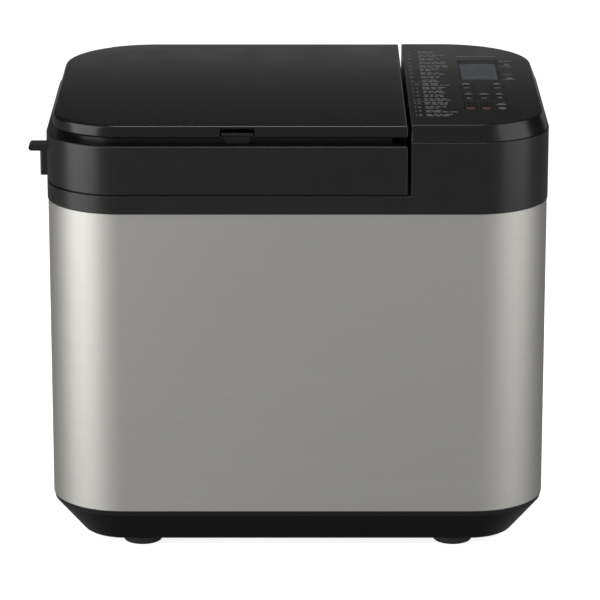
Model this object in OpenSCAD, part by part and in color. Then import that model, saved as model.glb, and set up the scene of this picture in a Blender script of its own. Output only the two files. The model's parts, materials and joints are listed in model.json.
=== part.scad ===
// Bread machine: a steel-wrapped case with a hinged lid, a dispenser lid on top of it,
// a baking pan with its kneading drive, and a control panel with eight keys.
// X runs to the right, Y to the back and Z up. The origin is on the floor, under the middle
// of the overall width, grip included. Inside the modules, X is counted from the case's middle.

/* [Case] */
// Width of the case, without the grip
case_w = 399; // [394:1:406]
// Depth of the case
case_d = 305; // [302:1:312]
// Radius of the two front corners, seen from above
front_r = 60; // [55:1:64]
// Radius of the two rear corners, seen from above
rear_r = 78; // [72:1:80]
// Wall of the plastic mouldings
wall = 3; // [2.5:0.1:3.2]
// Visible height of the rubber feet
foot_h = 6; // [5:0.5:9]
// Radius of a rubber foot
foot_r = 16; // [13:0.5:18]
// Distance of the feet's middles from the case's sides
foot_side = 73.5; // [68:0.5:84]
// Distance of the feet's middles from the case's front and back
foot_end = 43.5; // [40:0.5:52]
// Height of the tapered base
base_h = 32.5; // [31:0.5:36]
// How far the base tapers in towards its bottom
base_taper = 26; // [20:1:28]
// Height of the steel wrap
steel_h = 246.5; // [244:0.5:255]
// Sheet thickness of the steel wrap
steel_t = 1; // [0.8:0.1:1.2]
// How far the black frame stands proud of the steel
frame_proud = 0.6; // [0.3:0.1:1]
// Height of the black frame between the steel and the lid
collar_h = 15.4; // [14:0.2:18]

/* [Lid and dispenser lid] */
// Height of the lid's wall
lid_wall_h = 39.3; // [38:0.1:43]
// Height of the shadow gap under the dispenser lid
plate_gap = 6; // [5.5:0.1:7]
// Height of the dispenser lid with its lip
plate_h = 10.3; // [10:0.1:12]
// How far the dispenser lid lies inside the case's sides
plate_side_inset = 5.5; // [4.5:0.1:7]
// How far the dispenser lid lies inside the case's front
plate_front_inset = 1.5; // [1.2:0.1:2.4]
// How far the dispenser lid lies inside the case's back
plate_rear_inset = 6; // [5:0.1:7]
// Place of the gap between the lid and the control panel, from the middle
split_x = 87.3; // [84:0.1:90]
// Width of that gap
split_gap = 2.6; // [2:0.1:3.4]
// How far the grip reaches beyond the lid's left wall
grip_reach = 15; // [12:0.5:18]
// Depth of the grip, front to back
grip_d = 15; // [12:0.5:20]
// Thickness of the grip's finger tab
grip_t = 5; // [4:0.5:6]
// Radius of the lid's round rear edge, which is centred on its hinge
lid_barrel_r = 9; // [8.6:0.1:9.6]
// Radius of the dispenser lid's round rear edge
plate_barrel_r = 5; // [4.8:0.1:5]
// Width of the finger notch in the dispenser lid's lip
notch_w = 27; // [22:1:32]
// Place of the notch, from the middle
notch_x = -47; // [-70:1:-30]

/* [Baking chamber and pan] */
// How far the chamber's middle lies to the right of the lid's middle
chamber_shift = 0.25; // [-2:0.25:2]
// Width of the chamber inside
chamber_w = 232; // [230:1:236]
// Depth of the chamber inside
chamber_d = 200; // [198:1:204]
// Corner radius of the chamber
chamber_r = 30; // [26:1:34]
// Sheet thickness of the chamber
chamber_t = 1; // [0.8:0.1:1.2]
// Outer width of the pan
pan_w = 180; // [174:1:182]
// Outer depth of the pan
pan_d = 135; // [128:1:137]
// Height of the pan, rim included
pan_h = 137; // [125:1:140]
// Corner radius of the pan
pan_r = 25; // [22:1:30]
// Wall of the pan
pan_t = 1.5; // [1.2:0.1:2]
// Reach of the pan's bail from its pivots
bail_reach = 79; // [78:0.5:80]
// Radius of the bail's wire
bail_wire_r = 2.5; // [2:0.1:2.8]

/* [Drive] */
// Radius of the drive shaft and the blade shaft
shaft_r = 4; // [3.5:0.1:4.5]
// Pitch radius of the large pulley
big_pulley_r = 50; // [44:1:54]
// Pitch radius of the motor's pulley
small_pulley_r = 11; // [9:0.5:14]
// Radius of the motor's can
motor_r = 31; // [28:0.5:33]
// Height of the motor's can
motor_h = 70; // [60:1:75]
// Radius of the motor's shaft
motor_shaft_r = 3; // [2.5:0.1:3.5]
// Radius of the heater's tube
heater_r = 3.25; // [2.8:0.1:3.5]

/* [Control panel] */
// Width of a key
key_w = 10; // [8:0.5:10.5]
// Depth of a key, front to back
key_d = 15; // [12:0.5:17]
// Travel of a key
key_travel = 0.8; // [0.5:0.1:0.8]
// Width of the display's window
window_w = 34; // [30:1:36]
// Depth of the display's window, front to back
window_d = 72; // [64:1:74]

/* [Clearances] */
// Gap between pieces that move past each other
run_gap = 0.4; // [0.3:0.05:0.5]
// Radial clearance of a running shaft or pin
fit_gap = 0.05; // [0.03:0.01:0.08]
// Clearance of a piece seated in or on another
seat_gap = 0.2; // [0.1:0.05:0.3]

/* [Hidden] */
$fn = 64;

// Sizes of the case's details
seam_gap = 0.6;
ledge_rise = 3;
boss_inset = 36.5;
boss_y = 60;
boss_far_y = 118;
boss_r = 6;
screw_r = 2;
screw_head_r = 3.6;
screw_head_h = 2.6;
foot_plug_r = 5;
chassis_t = 1.5;
stand_h = 20.5;
gland_inset = 96.5;
gland_rise = 68;
gland_r = 8;
cord_r = 3.6;
rim_w = 9;
vent_w = 5;
vent_h = 40;
vent_rise = 188;
vent_pitch = 12;
grip_y = -88.5;
grip_rise = 19.8;
grip_web = 5.8;

// Sizes of the hinges
lid_hinge_off = [-50, 90];
ear_w = 12;
ear_r = 6;
hinge_pin_r = 2;
lug_w = 10;
lug_r = 3.1;
plate_pin_r = 1.5;
plate_skin = 1.8;
lip_t = 2.2;
plate_front_r = 54;
plate_rear_r = 74;
catch_half = 10;

// Sizes of the dispensers
nut_w = 84;
nut_d = 110;
nut_off = -25;
yeast_r = 22;
yeast_off = 72;
dispenser_rim = 1.5;
flap_ear_h = 12;
flap_t = 2;
trunnion_r = 1.5;

// Sizes of the chamber's and the drive's details
heater_off = 9.5;
heater_bend_r = 35;
heater_lead_y = 14;
sensor_y = 60;
sensor_rise = 79;
sensor_r = 3;
bearing_r = 11;
bearing_flange = 15;
coupling_r = 13;
belt_h = 12;
belt_t = 2;
motor_boss_r = 8;
fan_rise = 5.5;
fan_h = 10;
blade_rise = 13.5;
blade_drop = 9.5;
blade_hub_h = 15;
blade_reach = 48;
bush_r = 10;

// Sizes of the pan's details
pan_stand = 17;
seat_r = 42;
lug_width = 9;
pan_ear_half = 10;
pan_ear_t = 4.2;
twist = 12;
bail_bend_r = 20;

// Sizes of the panel's and the electronics' details
panel_skin = 2.5;
key_r = 2;
key_pitch_x = 12.5;
key_pitch_y = 36;
key_first_row = 62;
window_shift = 5.95;
window_gap = 21.5;
window_t = 2;
lcd_half_w = 15;
lcd_half_d = 34;
board_t = 1.6;
board_half = 31;
board_front = 44;
board_rear = 56;
board_post_x = 26;
switch_h = 3.6;
power_inset = 20.5;
power_half = 80;
power_h = 148.5;

// Sizes of the parts on the power board: how far they stand off it, their width and their height
transformer = [34, 44, 34];
relay = [16, 26, 20];
heat_sink = [22, 28, 40];
capacitor_r = 9;
capacitor_l = 26;
relay_y = -59;
ribbon_w = 20;
ribbon_y = 40;
capacitor_y = 48;
heat_sink_y = 56;

// Heights above the floor
base_z = foot_h;
steel_z = base_z + base_h;
frame_z = steel_z + steel_h;
seam_z = frame_z + collar_h;
collar_z = seam_z - seam_gap / 2;
lid_z = seam_z + seam_gap / 2;
deck_z = seam_z + lid_wall_h;
plate_z = deck_z + plate_gap;
top_z = plate_z + plate_h;
ledge_z = deck_z + ledge_rise;
frame_deck_z = collar_z - wall;
liner_top_z = frame_deck_z - wall;
chassis_z = steel_z + 3.5;
bed_z = chassis_z + chassis_t;
liner_z = bed_z + stand_h;
floor_z = liner_z + chamber_t;
pan_z = floor_z + pan_stand;
pan_top_z = pan_z + pan_h;
gland_z = base_z + gland_rise;
vent_z = base_z + vent_rise;

// Places of the case and its lids
side_x = case_w / 2;
back_y = case_d / 2;
front_y = -case_d / 2;
foot_x = side_x - foot_side;
foot_y = back_y - foot_end;
boss_x = side_x - boss_inset;
gland_x = side_x - gland_inset;
lid_right_x = split_x - split_gap / 2;
panel_left_x = split_x + split_gap / 2;
chamber_x = (lid_right_x - side_x) / 2 + chamber_shift;
lid_hinge_x = [for (off = lid_hinge_off) chamber_x + off];
lid_hinge_y = back_y - lid_barrel_r;
lid_hinge_z = lid_z + lid_barrel_r;
plate_front_y = front_y + plate_front_inset;
plate_back_y = back_y - plate_rear_inset;
plate_hinge_y = plate_back_y - plate_barrel_r;
plate_hinge_z = plate_z + plate_barrel_r;
hinge_pin_l = ear_w + 14;
plate_pin_l = lug_w + 10;

// Places of the dispensers
nut_x = chamber_x + nut_off;
yeast_x = chamber_x + yeast_off;
rim_z = deck_z + dispenser_rim + 0.1;
flap_z = seam_z + 5.6;
flap_barrel_r = trunnion_r + 0.7;
cup_z = flap_z + flap_barrel_r + run_gap;
nut_hinge_x = nut_x - nut_w / 2 + 3;
yeast_hinge_x = yeast_x + yeast_r - 2;
flap_disc_r = yeast_r - 6;

// Places of the drive: the motor stands midway between the heat shield and the power board
shield_off = chamber_w / 2 + chamber_t + 8;
power_x = side_x - power_inset;
motor_x = (chamber_x + shield_off + 1 + power_x) / 2;
belt_z = chassis_z - 1.5 - belt_h;
belt_reach = motor_x - chamber_x;
coupling_z = floor_z + 3;
blade_z = pan_z + blade_rise;
fan_z = bed_z + wall + motor_h + fan_rise;
shaft_gap = 0.02;

// Places of the heater, the pan's seat and its bail
heater_z = floor_z + 29;
sensor_z = floor_z + sensor_rise;
heater_x = chamber_w / 2 - heater_off;
heater_y = chamber_d / 2 - heater_off;
seat_h = pan_stand - 5;
bail_z = pan_top_z - 13;
bail_x = pan_w / 2 + 5 + bail_wire_r;

// Places of the control panel
window_x = (panel_left_x + side_x) / 2 + window_shift;
key_xs = [window_x - key_pitch_x, window_x, window_x + key_pitch_x];
key_ys = [for (row = [0:2]) front_y + key_first_row + row * key_pitch_y];
// Three keys in the front row and in the middle row, two in the rear row
key_places = [for (row = [0:2]) for (column = [0:2]) if (row < 2 || column != 1)
    [key_xs[column], key_ys[row]]];
window_y = key_ys[2] + key_d / 2 + window_gap + window_d / 2;
skin_z = top_z - panel_skin;
board_z = ledge_z - 12;
board_top_z = board_z + board_t;
switch_top_z = board_top_z + switch_h;

// Colours
c_black = [0.09, 0.09, 0.09];
c_steel = [0.74, 0.72, 0.69];
c_dark_grey = [0.22, 0.22, 0.23];
c_alu = [0.78, 0.78, 0.8];
c_coat = [0.24, 0.24, 0.25];
c_zinc = [0.66, 0.67, 0.7];
c_rubber = [0.05, 0.05, 0.05];
c_silicone = [0.7, 0.25, 0.18];
c_board = [0.1, 0.35, 0.18];
c_glass = [0.35, 0.37, 0.42];
c_copper = [0.72, 0.42, 0.25];

// ---- Shared shapes ----

// What is inside is drawn about the case's middle; the grip shifts it to the right.
module at_case() {
    translate([grip_reach / 2, 0, 0]) children();
}

// What is inside is drawn about the chamber's middle.
module at_chamber() {
    translate([grip_reach / 2 + chamber_x, 0, 0]) children();
}

// What is inside is drawn about the motor's shaft.
module at_motor() {
    translate([grip_reach / 2 + motor_x, 0, 0]) children();
}

// A rectangle with one radius at its two front corners and another at its two rear ones
module rounded_plan(w, d, rf, rb) {
    x = w / 2;
    y = d / 2;
    polygon([
        [-x + rf, -y], [x - rf, -y], [x, -y + rf], [x, y - rb],
        [x - rb, y], [-x + rb, y], [-x, y - rb], [-x, -y + rf]
    ]);
    for (side = [-1, 1]) {
        translate([side * (x - rf), -y + rf]) circle(r = rf);
        translate([side * (x - rb), y - rb]) circle(r = rb);
    }
}

// A slab of the case's outline, drawn in by inset on every side
module slab(inset, low, high) {
    translate([0, 0, low])
        linear_extrude(high - low)
            rounded_plan(case_w - 2 * inset, case_d - 2 * inset, front_r - inset, rear_r - inset);
}

// A ring that follows the case's outline, between two insets
module ring_slab(outer, inner, low, high) {
    difference() {
        slab(outer, low, high);
        slab(inner, low - 1, high + 1);
    }
}

// A slab of the dispenser lid's outline, drawn in by inset
module plate_slab(inset, low, high) {
    w = case_w - 2 * plate_side_inset;
    d = plate_back_y - plate_front_y;
    translate([0, (plate_front_y + plate_back_y) / 2, low])
        linear_extrude(high - low)
            rounded_plan(w - 2 * inset, d - 2 * inset, plate_front_r - inset, plate_rear_r - inset);
}

// A box with upright round edges, centred in plan
module tub(w, d, r, low, high) {
    translate([0, 0, low])
        linear_extrude(high - low)
            rounded_plan(w, d, r, r);
}

// A box from its lowest to its highest corner
module block(low, high) {
    translate(low) cube(high - low);
}

// A cylinder that stands on the height low
module post(x, y, r, low, high) {
    translate([x, y, low]) cylinder(r = r, h = high - low);
}

// A cylinder along X, from low to high
module rod_x(y, z, r, low, high) {
    translate([low, y, z]) rotate([0, 90, 0]) cylinder(r = r, h = high - low);
}

// A cylinder along Y, from low to high
module rod_y(x, z, r, low, high) {
    translate([x, low, z]) rotate([-90, 0, 0]) cylinder(r = r, h = high - low);
}

// Keeps what lies to the left of x
module left_of(x) {
    intersection() {
        children();
        block([x - 2 * case_w, -case_d, 0], [x, case_d, 2 * top_z]);
    }
}

// Keeps what lies to the right of x
module right_of(x) {
    intersection() {
        children();
        block([x, -case_d, 0], [x + 2 * case_w, case_d, 2 * top_z]);
    }
}

// ---- Base and case ----

module foot_places() {
    for (x = [-foot_x, foot_x]) for (y = [-foot_y, foot_y]) translate([x, y, 0]) children();
}

module boss_places() {
    for (x = [-boss_x, boss_x]) for (y = [-boss_y, boss_y]) translate([x, y, 0]) children();
    for (y = [-boss_far_y, boss_far_y]) translate([chamber_x, y, 0]) children();
}

module base_tray() {
    lip = frame_proud + steel_t + seat_gap;
    color(c_black) at_case() difference() {
        union() {
            difference() {
                hull() {
                    slab(frame_proud, steel_z - 1, steel_z);
                    slab(base_taper, base_z, base_z + 1);
                }
                hull() {
                    slab(frame_proud + wall, steel_z - 1, steel_z + 1);
                    slab(base_taper + wall, base_z + wall, base_z + wall + 1);
                }
            }
            ring_slab(lip, lip + 2, steel_z - 3, steel_z + 8);
            boss_places() post(0, 0, boss_r, base_z + 1, chassis_z);
        }
        boss_places() post(0, 0, screw_r, base_z - 1, chassis_z + 1);
        boss_places() post(0, 0, screw_head_r + seat_gap, base_z - 1, base_z + screw_head_h);
        foot_places() post(0, 0, foot_plug_r, base_z - 1, base_z + 2 * wall);
        for (x = [22:vent_pitch:94])
            block([x, -foot_y - 3, base_z - 1], [x + vent_w, vent_h - foot_y + 7, base_z + wall + 1]);
    }
}

module rubber_feet() {
    edge = 2.5;
    color(c_rubber) at_case() foot_places() {
        rotate_extrude() {
            square([foot_r - edge, base_z]);
            translate([0, edge]) square([foot_r, base_z - edge]);
            translate([foot_r - edge, edge]) circle(r = edge);
        }
        post(0, 0, foot_plug_r - seat_gap, base_z - 1, base_z + wall + 1);
        post(0, 0, foot_plug_r + 1.5, base_z + wall + seat_gap, base_z + wall + 3);
    }
}

module base_screws() {
    color(c_zinc) at_case() boss_places() {
        post(0, 0, screw_head_r, base_z + 0.3, base_z + screw_head_h - 0.1);
        post(0, 0, screw_r - shaft_gap, base_z + 1, bed_z + 4);
    }
}

module steel_case() {
    color(c_steel) at_case() difference() {
        ring_slab(frame_proud, frame_proud + steel_t, steel_z, frame_z);
        rod_y(gland_x, gland_z, gland_r + seat_gap, back_y - 20, back_y + 1);
        for (x = [-20:vent_pitch:76])
            block([x, back_y - 9, vent_z], [x + vent_w, back_y + 1, vent_z + vent_h]);
    }
}

module top_frame() {
    skirt = frame_proud + steel_t + seat_gap;
    color(c_black) at_case() difference() {
        union() {
            ring_slab(0, wall, frame_z, collar_z);
            ring_slab(wall - 1, rim_w, liner_top_z, collar_z);
            ring_slab(skirt, skirt + 2.5, frame_z - 10, frame_z + 1);
            slab(wall - 1, liner_top_z, frame_deck_z);
            right_of(panel_left_x) ring_slab(0, wall, collar_z - 1, ledge_z);
            intersection() {
                slab(0, frame_deck_z - 1, ledge_z);
                block([panel_left_x, -case_d, frame_z], [panel_left_x + wall, case_d, top_z]);
            }
            for (x = lid_hinge_x) {
                block([x - ear_w / 2, lid_hinge_y - ear_r, frame_deck_z - 1],
                    [x + ear_w / 2, lid_hinge_y + ear_r, lid_hinge_z]);
                rod_x(lid_hinge_y, lid_hinge_z, ear_r, x - ear_w / 2, x + ear_w / 2);
            }
        }
        translate([chamber_x, 0, 0])
            tub(chamber_w + 2, chamber_d + 2, chamber_r + 1, liner_top_z - 1, collar_z + 1);
        intersection() {
            slab(14, liner_top_z - 1, frame_deck_z + 1);
            block([panel_left_x + 10, -foot_y - 11, liner_top_z - 1],
                [case_w, foot_y + 11, frame_deck_z + 1]);
        }
        for (x = lid_hinge_x)
            rod_x(lid_hinge_y, lid_hinge_z, hinge_pin_r + fit_gap, x - ear_w, x + ear_w);
    }
}

module chassis_plate() {
    color(c_zinc) {
        difference() {
            at_case() slab(8, chassis_z, bed_z);
            at_case() boss_places() post(0, 0, screw_r, chassis_z - 1, bed_z + 1);
            at_chamber() post(0, 0, bearing_r + seat_gap, chassis_z - 1, bed_z + 1);
            at_motor() post(0, 0, motor_boss_r + seat_gap, chassis_z - 1, bed_z + 1);
        }
        at_chamber() for (x = [-80, 80]) for (y = [-70, 70]) post(x, y, 5, bed_z - 0.5, liner_z);
    }
}

module cord_gland() {
    steel_y = back_y - frame_proud;
    color(c_rubber) at_case() difference() {
        union() {
            rod_y(gland_x, gland_z, gland_r + 4, steel_y, back_y);
            rod_y(gland_x, gland_z, gland_r, steel_y - 14, back_y);
            rod_y(gland_x, gland_z, gland_r + 4, steel_y - steel_t - 5, steel_y - steel_t - seat_gap);
        }
        rod_y(gland_x, gland_z, cord_r, steel_y - 15, back_y + 1);
    }
}

// ---- Chamber ----

module oven_liner() {
    color(c_alu) at_chamber() difference() {
        union() {
            tub(chamber_w + 2 * chamber_t, chamber_d + 2 * chamber_t, chamber_r + chamber_t,
                liner_z, liner_top_z);
            tub(chamber_w + 16, chamber_d + 16, chamber_r + 8, liner_top_z - chamber_t, liner_top_z);
        }
        tub(chamber_w, chamber_d, chamber_r, floor_z, liner_top_z + 1);
        post(0, 0, bearing_r + seat_gap, liner_z - 1, floor_z + 1);
        for (y = [-heater_lead_y, heater_lead_y])
            rod_x(y, heater_z, heater_r + seat_gap, chamber_w / 2 - 5, chamber_w / 2 + 5);
        rod_x(sensor_y, sensor_z, sensor_r + seat_gap, chamber_w / 2 - 5, chamber_w / 2 + 5);
    }
}

module heat_shield() {
    x = shield_off;
    color(c_zinc) at_chamber() difference() {
        block([x, -chamber_d / 2, bed_z], [x + 1, chamber_d / 2, liner_top_z - 8]);
        for (y = [-heater_lead_y, heater_lead_y]) rod_x(y, heater_z, heater_r + 1, x - 2, x + 3);
    }
}

// A quarter of the heater's bend, centred on its middle
module heater_bend(x, y, turn) {
    translate([x, y, heater_z])
        rotate([0, 0, turn])
            rotate_extrude(angle = 90) translate([heater_bend_r, 0]) circle(r = heater_r);
}

module heater_element() {
    x = heater_x - heater_bend_r;
    y = heater_y - heater_bend_r;
    color(c_dark_grey) at_chamber() {
        heater_bend(x, y, 0);
        heater_bend(-x, y, 90);
        heater_bend(-x, -y, 180);
        heater_bend(x, -y, 270);
        for (side = [-1, 1]) {
            rod_x(side * heater_y, heater_z, heater_r, -x, x);
            rod_y(heater_x, heater_z, heater_r,
                side > 0 ? heater_lead_y : -y, side > 0 ? y : -heater_lead_y);
            translate([heater_x, side * heater_lead_y, heater_z]) sphere(r = heater_r);
            rod_x(side * heater_lead_y, heater_z, heater_r, heater_x, chamber_w / 2 + 15);
        }
        rod_y(-heater_x, heater_z, heater_r, -y, y);
    }
}

module heater_brackets() {
    color(c_zinc) at_chamber() for (x = [-45, 45]) for (side = [-1, 1]) difference() {
        block([x - 4, min(side * (heater_y - 5), side * chamber_d / 2), heater_z - 6],
            [x + 4, max(side * (heater_y - 5), side * chamber_d / 2), heater_z + 6]);
        rod_x(side * heater_y, heater_z, heater_r + shaft_gap, x - 5, x + 5);
    }
}

module temperature_sensor() {
    wall_x = chamber_w / 2 + chamber_t;
    color(c_zinc) at_chamber() {
        rod_x(sensor_y, sensor_z, sensor_r, chamber_w / 2 - 14, wall_x + 7);
        rod_x(sensor_y, sensor_z, sensor_r + 4, wall_x, wall_x + 2);
    }
}

// ---- Drive ----

module pan_seat() {
    groove = seat_r + 5;
    color(c_alu) at_chamber() difference() {
        union() {
            post(0, 0, groove + 3, floor_z, floor_z + seat_h);
            post(0, 0, groove + 8, floor_z, floor_z + 2);
        }
        post(0, 0, seat_r + run_gap, floor_z - 1, floor_z + seat_h + 1);
        post(0, 0, groove + run_gap, floor_z + 4, floor_z + 9);
        for (turn = [0:90:270]) rotate([0, 0, turn + 45 + twist])
            block([seat_r - 2, -lug_width / 2 - 1, floor_z + 4],
                [groove + run_gap, lug_width / 2 + 1, floor_z + seat_h + 1]);
    }
}

module drive_bearing() {
    color(c_zinc) at_chamber() difference() {
        union() {
            post(0, 0, bearing_r, chassis_z - 1, floor_z + 2);
            post(0, 0, bearing_r + bearing_flange, bed_z, bed_z + 3);
        }
        post(0, 0, shaft_r + fit_gap, chassis_z - 2, floor_z + 3);
    }
}

module drive_pulley() {
    color(c_dark_grey) at_chamber() difference() {
        post(0, 0, big_pulley_r - run_gap, belt_z, belt_z + belt_h);
        difference() {
            post(0, 0, big_pulley_r - 6, belt_z + 4, belt_z + belt_h + 1);
            post(0, 0, shaft_r + 5, belt_z, belt_z + belt_h + 2);
        }
        post(0, 0, shaft_r + shaft_gap, belt_z - 1, belt_z + belt_h + 1);
    }
}

module drive_shaft() {
    color(c_zinc) at_chamber() post(0, 0, shaft_r, belt_z - 3, coupling_z + 4);
}

module drive_coupling() {
    color(c_zinc) at_chamber() {
        difference() {
            post(0, 0, coupling_r, coupling_z, coupling_z + 5);
            post(0, 0, shaft_r + shaft_gap, coupling_z - 1, coupling_z + 4 + shaft_gap);
        }
        intersection() {
            difference() {
                post(0, 0, coupling_r, coupling_z + 4.5, coupling_z + 12);
                post(0, 0, coupling_r - 4.5, coupling_z + 4, coupling_z + 13);
            }
            block([-coupling_r, -4.5, coupling_z], [coupling_r, 4.5, coupling_z + 13]);
        }
    }
}

module blade_shaft() {
    color(c_zinc) at_chamber() {
        post(0, 0, shaft_r, coupling_z + 6, blade_z + blade_hub_h + 1);
        block([-3, -coupling_r + 1, coupling_z + 6], [3, coupling_r - 1, coupling_z + 12]);
    }
}

module kneading_blade() {
    low = blade_z - blade_drop;
    hub_r = shaft_r + 4;
    color(c_coat) at_chamber() difference() {
        union() {
            post(0, 0, hub_r, blade_z, blade_z + blade_hub_h);
            translate([0, 2.5, 0]) rotate([90, 0, 0]) linear_extrude(5)
                polygon([
                    [0, blade_z], [hub_r + 5, blade_z], [hub_r + 5, low], [blade_reach - 3, low],
                    [blade_reach, low + 4], [blade_reach - 5, low + 19],
                    [hub_r + 8, blade_z + blade_hub_h + 10], [hub_r, blade_z + blade_hub_h + 8],
                    [hub_r - 2, blade_z + blade_hub_h], [0, blade_z + blade_hub_h]
                ]);
        }
        post(0, 0, shaft_r + shaft_gap, blade_z - 1, blade_z + blade_hub_h + 20);
    }
}

// The points of an arc of radius r about x, from one angle to another
function arc(x, r, from, to, steps) = [
    for (step = [0:steps]) let (a = from + (to - from) * step / steps) [x + r * cos(a), r * sin(a)]
];

// The outline of a belt round the two pulleys, with the belt's face at a distance from their own
module belt_plan(off) {
    leave = acos((big_pulley_r - small_pulley_r) / belt_reach);
    polygon(concat(
        arc(0, big_pulley_r + off, leave, 360 - leave, 48),
        arc(belt_reach, small_pulley_r + off, -leave, leave, 24)
    ));
}

module drive_belt() {
    color(c_rubber) at_chamber() translate([0, 0, belt_z + 1]) linear_extrude(belt_h - 2) difference() {
        belt_plan(belt_t);
        belt_plan(0);
    }
}

module motor_body() {
    can_z = bed_z + wall;
    color(c_zinc) at_motor() difference() {
        union() {
            tub(2 * motor_r + 8, 2 * motor_r + 8, 8, bed_z, can_z);
            post(0, 0, motor_boss_r, chassis_z - 0.5, can_z);
            post(0, 0, motor_r, can_z, can_z + motor_h);
            post(0, 0, motor_shaft_r + 6, can_z + motor_h, can_z + motor_h + 3);
        }
        post(0, 0, motor_shaft_r + fit_gap, chassis_z - 1, can_z + motor_h + 4);
    }
}

module motor_shaft() {
    color(c_zinc) at_motor() post(0, 0, motor_shaft_r, belt_z - 2, fan_z + fan_h + 1);
}

module motor_pulley() {
    color(c_dark_grey) at_motor() difference() {
        post(0, 0, small_pulley_r - run_gap, belt_z, belt_z + belt_h);
        post(0, 0, motor_shaft_r + shaft_gap, belt_z - 1, belt_z + belt_h + 1);
    }
}

module motor_fan() {
    hub_r = motor_shaft_r + 4;
    color(c_dark_grey) at_motor() difference() {
        union() {
            post(0, 0, motor_r - 3, fan_z, fan_z + 1.5);
            post(0, 0, hub_r, fan_z, fan_z + fan_h);
            for (turn = [0:40:320]) rotate([0, 0, turn])
                block([hub_r - 1, -0.8, fan_z], [motor_r - 3, 0.8, fan_z + fan_h]);
        }
        post(0, 0, motor_shaft_r + shaft_gap, fan_z - 1, fan_z + fan_h + 1);
    }
}

// ---- Electronics ----

module power_board() {
    color(c_board) at_case()
        block([power_x, -power_half, bed_z], [power_x + board_t, power_half, bed_z + power_h]);
}

// A block of a size on the power board, with its middle at y and its underside at z
module on_board(size, y, z) {
    block([power_x - size[0], y - size[1] / 2, z], [power_x, y + size[1] / 2, z + size[2]]);
}

module power_parts() {
    can_z = bed_z + power_h - 3 * capacitor_r;
    color(c_dark_grey) at_case() {
        on_board(transformer, 0, can_z - transformer[2] / 2);
        rod_x(capacitor_y, can_z, capacitor_r, power_x - capacitor_l, power_x);
        rod_x(capacitor_y, can_z - 3 * capacitor_r, capacitor_r - 2, power_x - capacitor_l + 6, power_x);
        for (copy = [0, 1]) on_board(relay, relay_y, bed_z + heat_sink[2] + copy * 1.5 * relay[2]);
        on_board(heat_sink, heat_sink_y, bed_z + capacitor_r);
    }
}

module ribbon_cable() {
    x = power_x + board_t;
    low = bed_z + power_h - 10;
    color(c_dark_grey) at_case() translate([0, ribbon_y, 0]) rotate([90, 0, 0]) linear_extrude(ribbon_w)
        polygon([
            [x, low], [x + 1, low], [x + 1, board_z - 14], [x - 8, board_z],
            [x - 9.4, board_z], [x, board_z - 14.5]
        ]);
}

module panel_cover() {
    low = ledge_z + seat_gap / 2;
    color(c_black) at_case() difference() {
        union() {
            right_of(panel_left_x) difference() {
                hull() {
                    slab(0.5, low, low + 0.5);
                    slab(plate_side_inset, top_z - 0.5, top_z);
                }
                right_of(panel_left_x + lip_t) hull() {
                    slab(0.5 + lip_t, low - 1, low);
                    slab(plate_side_inset + lip_t, skin_z - 1, skin_z);
                }
            }
            for (side = [-1, 1]) for (y = [front_y + board_front + 6, back_y - board_rear - 6])
                post(window_x + side * board_post_x, y, 3, board_top_z, skin_z + 1);
        }
        for (place = key_places) translate([place[0], place[1], 0])
            tub(key_w + 2 * run_gap, key_d + 2 * run_gap, key_r + run_gap, skin_z - 1, top_z + 1);
        translate([window_x, window_y, 0]) {
            tub(window_w, window_d, key_r, top_z - window_t, top_z + 1);
            tub(window_w - 4, window_d - 4, key_r, skin_z - 1, top_z);
        }
    }
}

module panel_window() {
    color(c_glass) at_case() translate([window_x, window_y, 0])
        tub(window_w - seat_gap, window_d - seat_gap, key_r, top_z - window_t, top_z - 0.1);
}

module lcd_module() {
    color(c_glass) at_case() translate([window_x, window_y, 0]) {
        block([-lcd_half_w, -lcd_half_d, ledge_z + 2], [lcd_half_w, lcd_half_d, skin_z - seat_gap]);
        for (x = [-1, 1]) for (y = [-1, 1])
            post(x * (lcd_half_w - 2), y * (lcd_half_d - 2), 1.5, board_top_z, ledge_z + 3);
    }
}

module control_board() {
    color(c_board) at_case()
        block([window_x - board_half, front_y + board_front, board_z],
            [window_x + board_half, back_y - board_rear, board_top_z]);
}

module tact_switches() {
    color(c_dark_grey) at_case() for (place = key_places) translate([place[0], place[1], 0]) {
        block([-3, -3, board_top_z], [3, 3, switch_top_z]);
        post(0, 0, 1.6, switch_top_z - 0.5, switch_top_z + 0.3);
    }
}

// A key: its cap, the flange that stops it under the panel, and the stem down to its switch
module key(number) {
    flange_z = skin_z - 0.3 - 1.5;
    color(c_black) at_case() translate([key_places[number - 1][0], key_places[number - 1][1], 0]) {
        tub(key_w, key_d, key_r, flange_z, top_z - 0.1);
        tub(key_w + 1.4, key_d + 1.4, key_r + 0.7, flange_z, flange_z + 1.5);
        post(0, 0, 2, switch_top_z + 0.5 + key_travel, flange_z + 1);
    }
}

// ---- Lid ----

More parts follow.
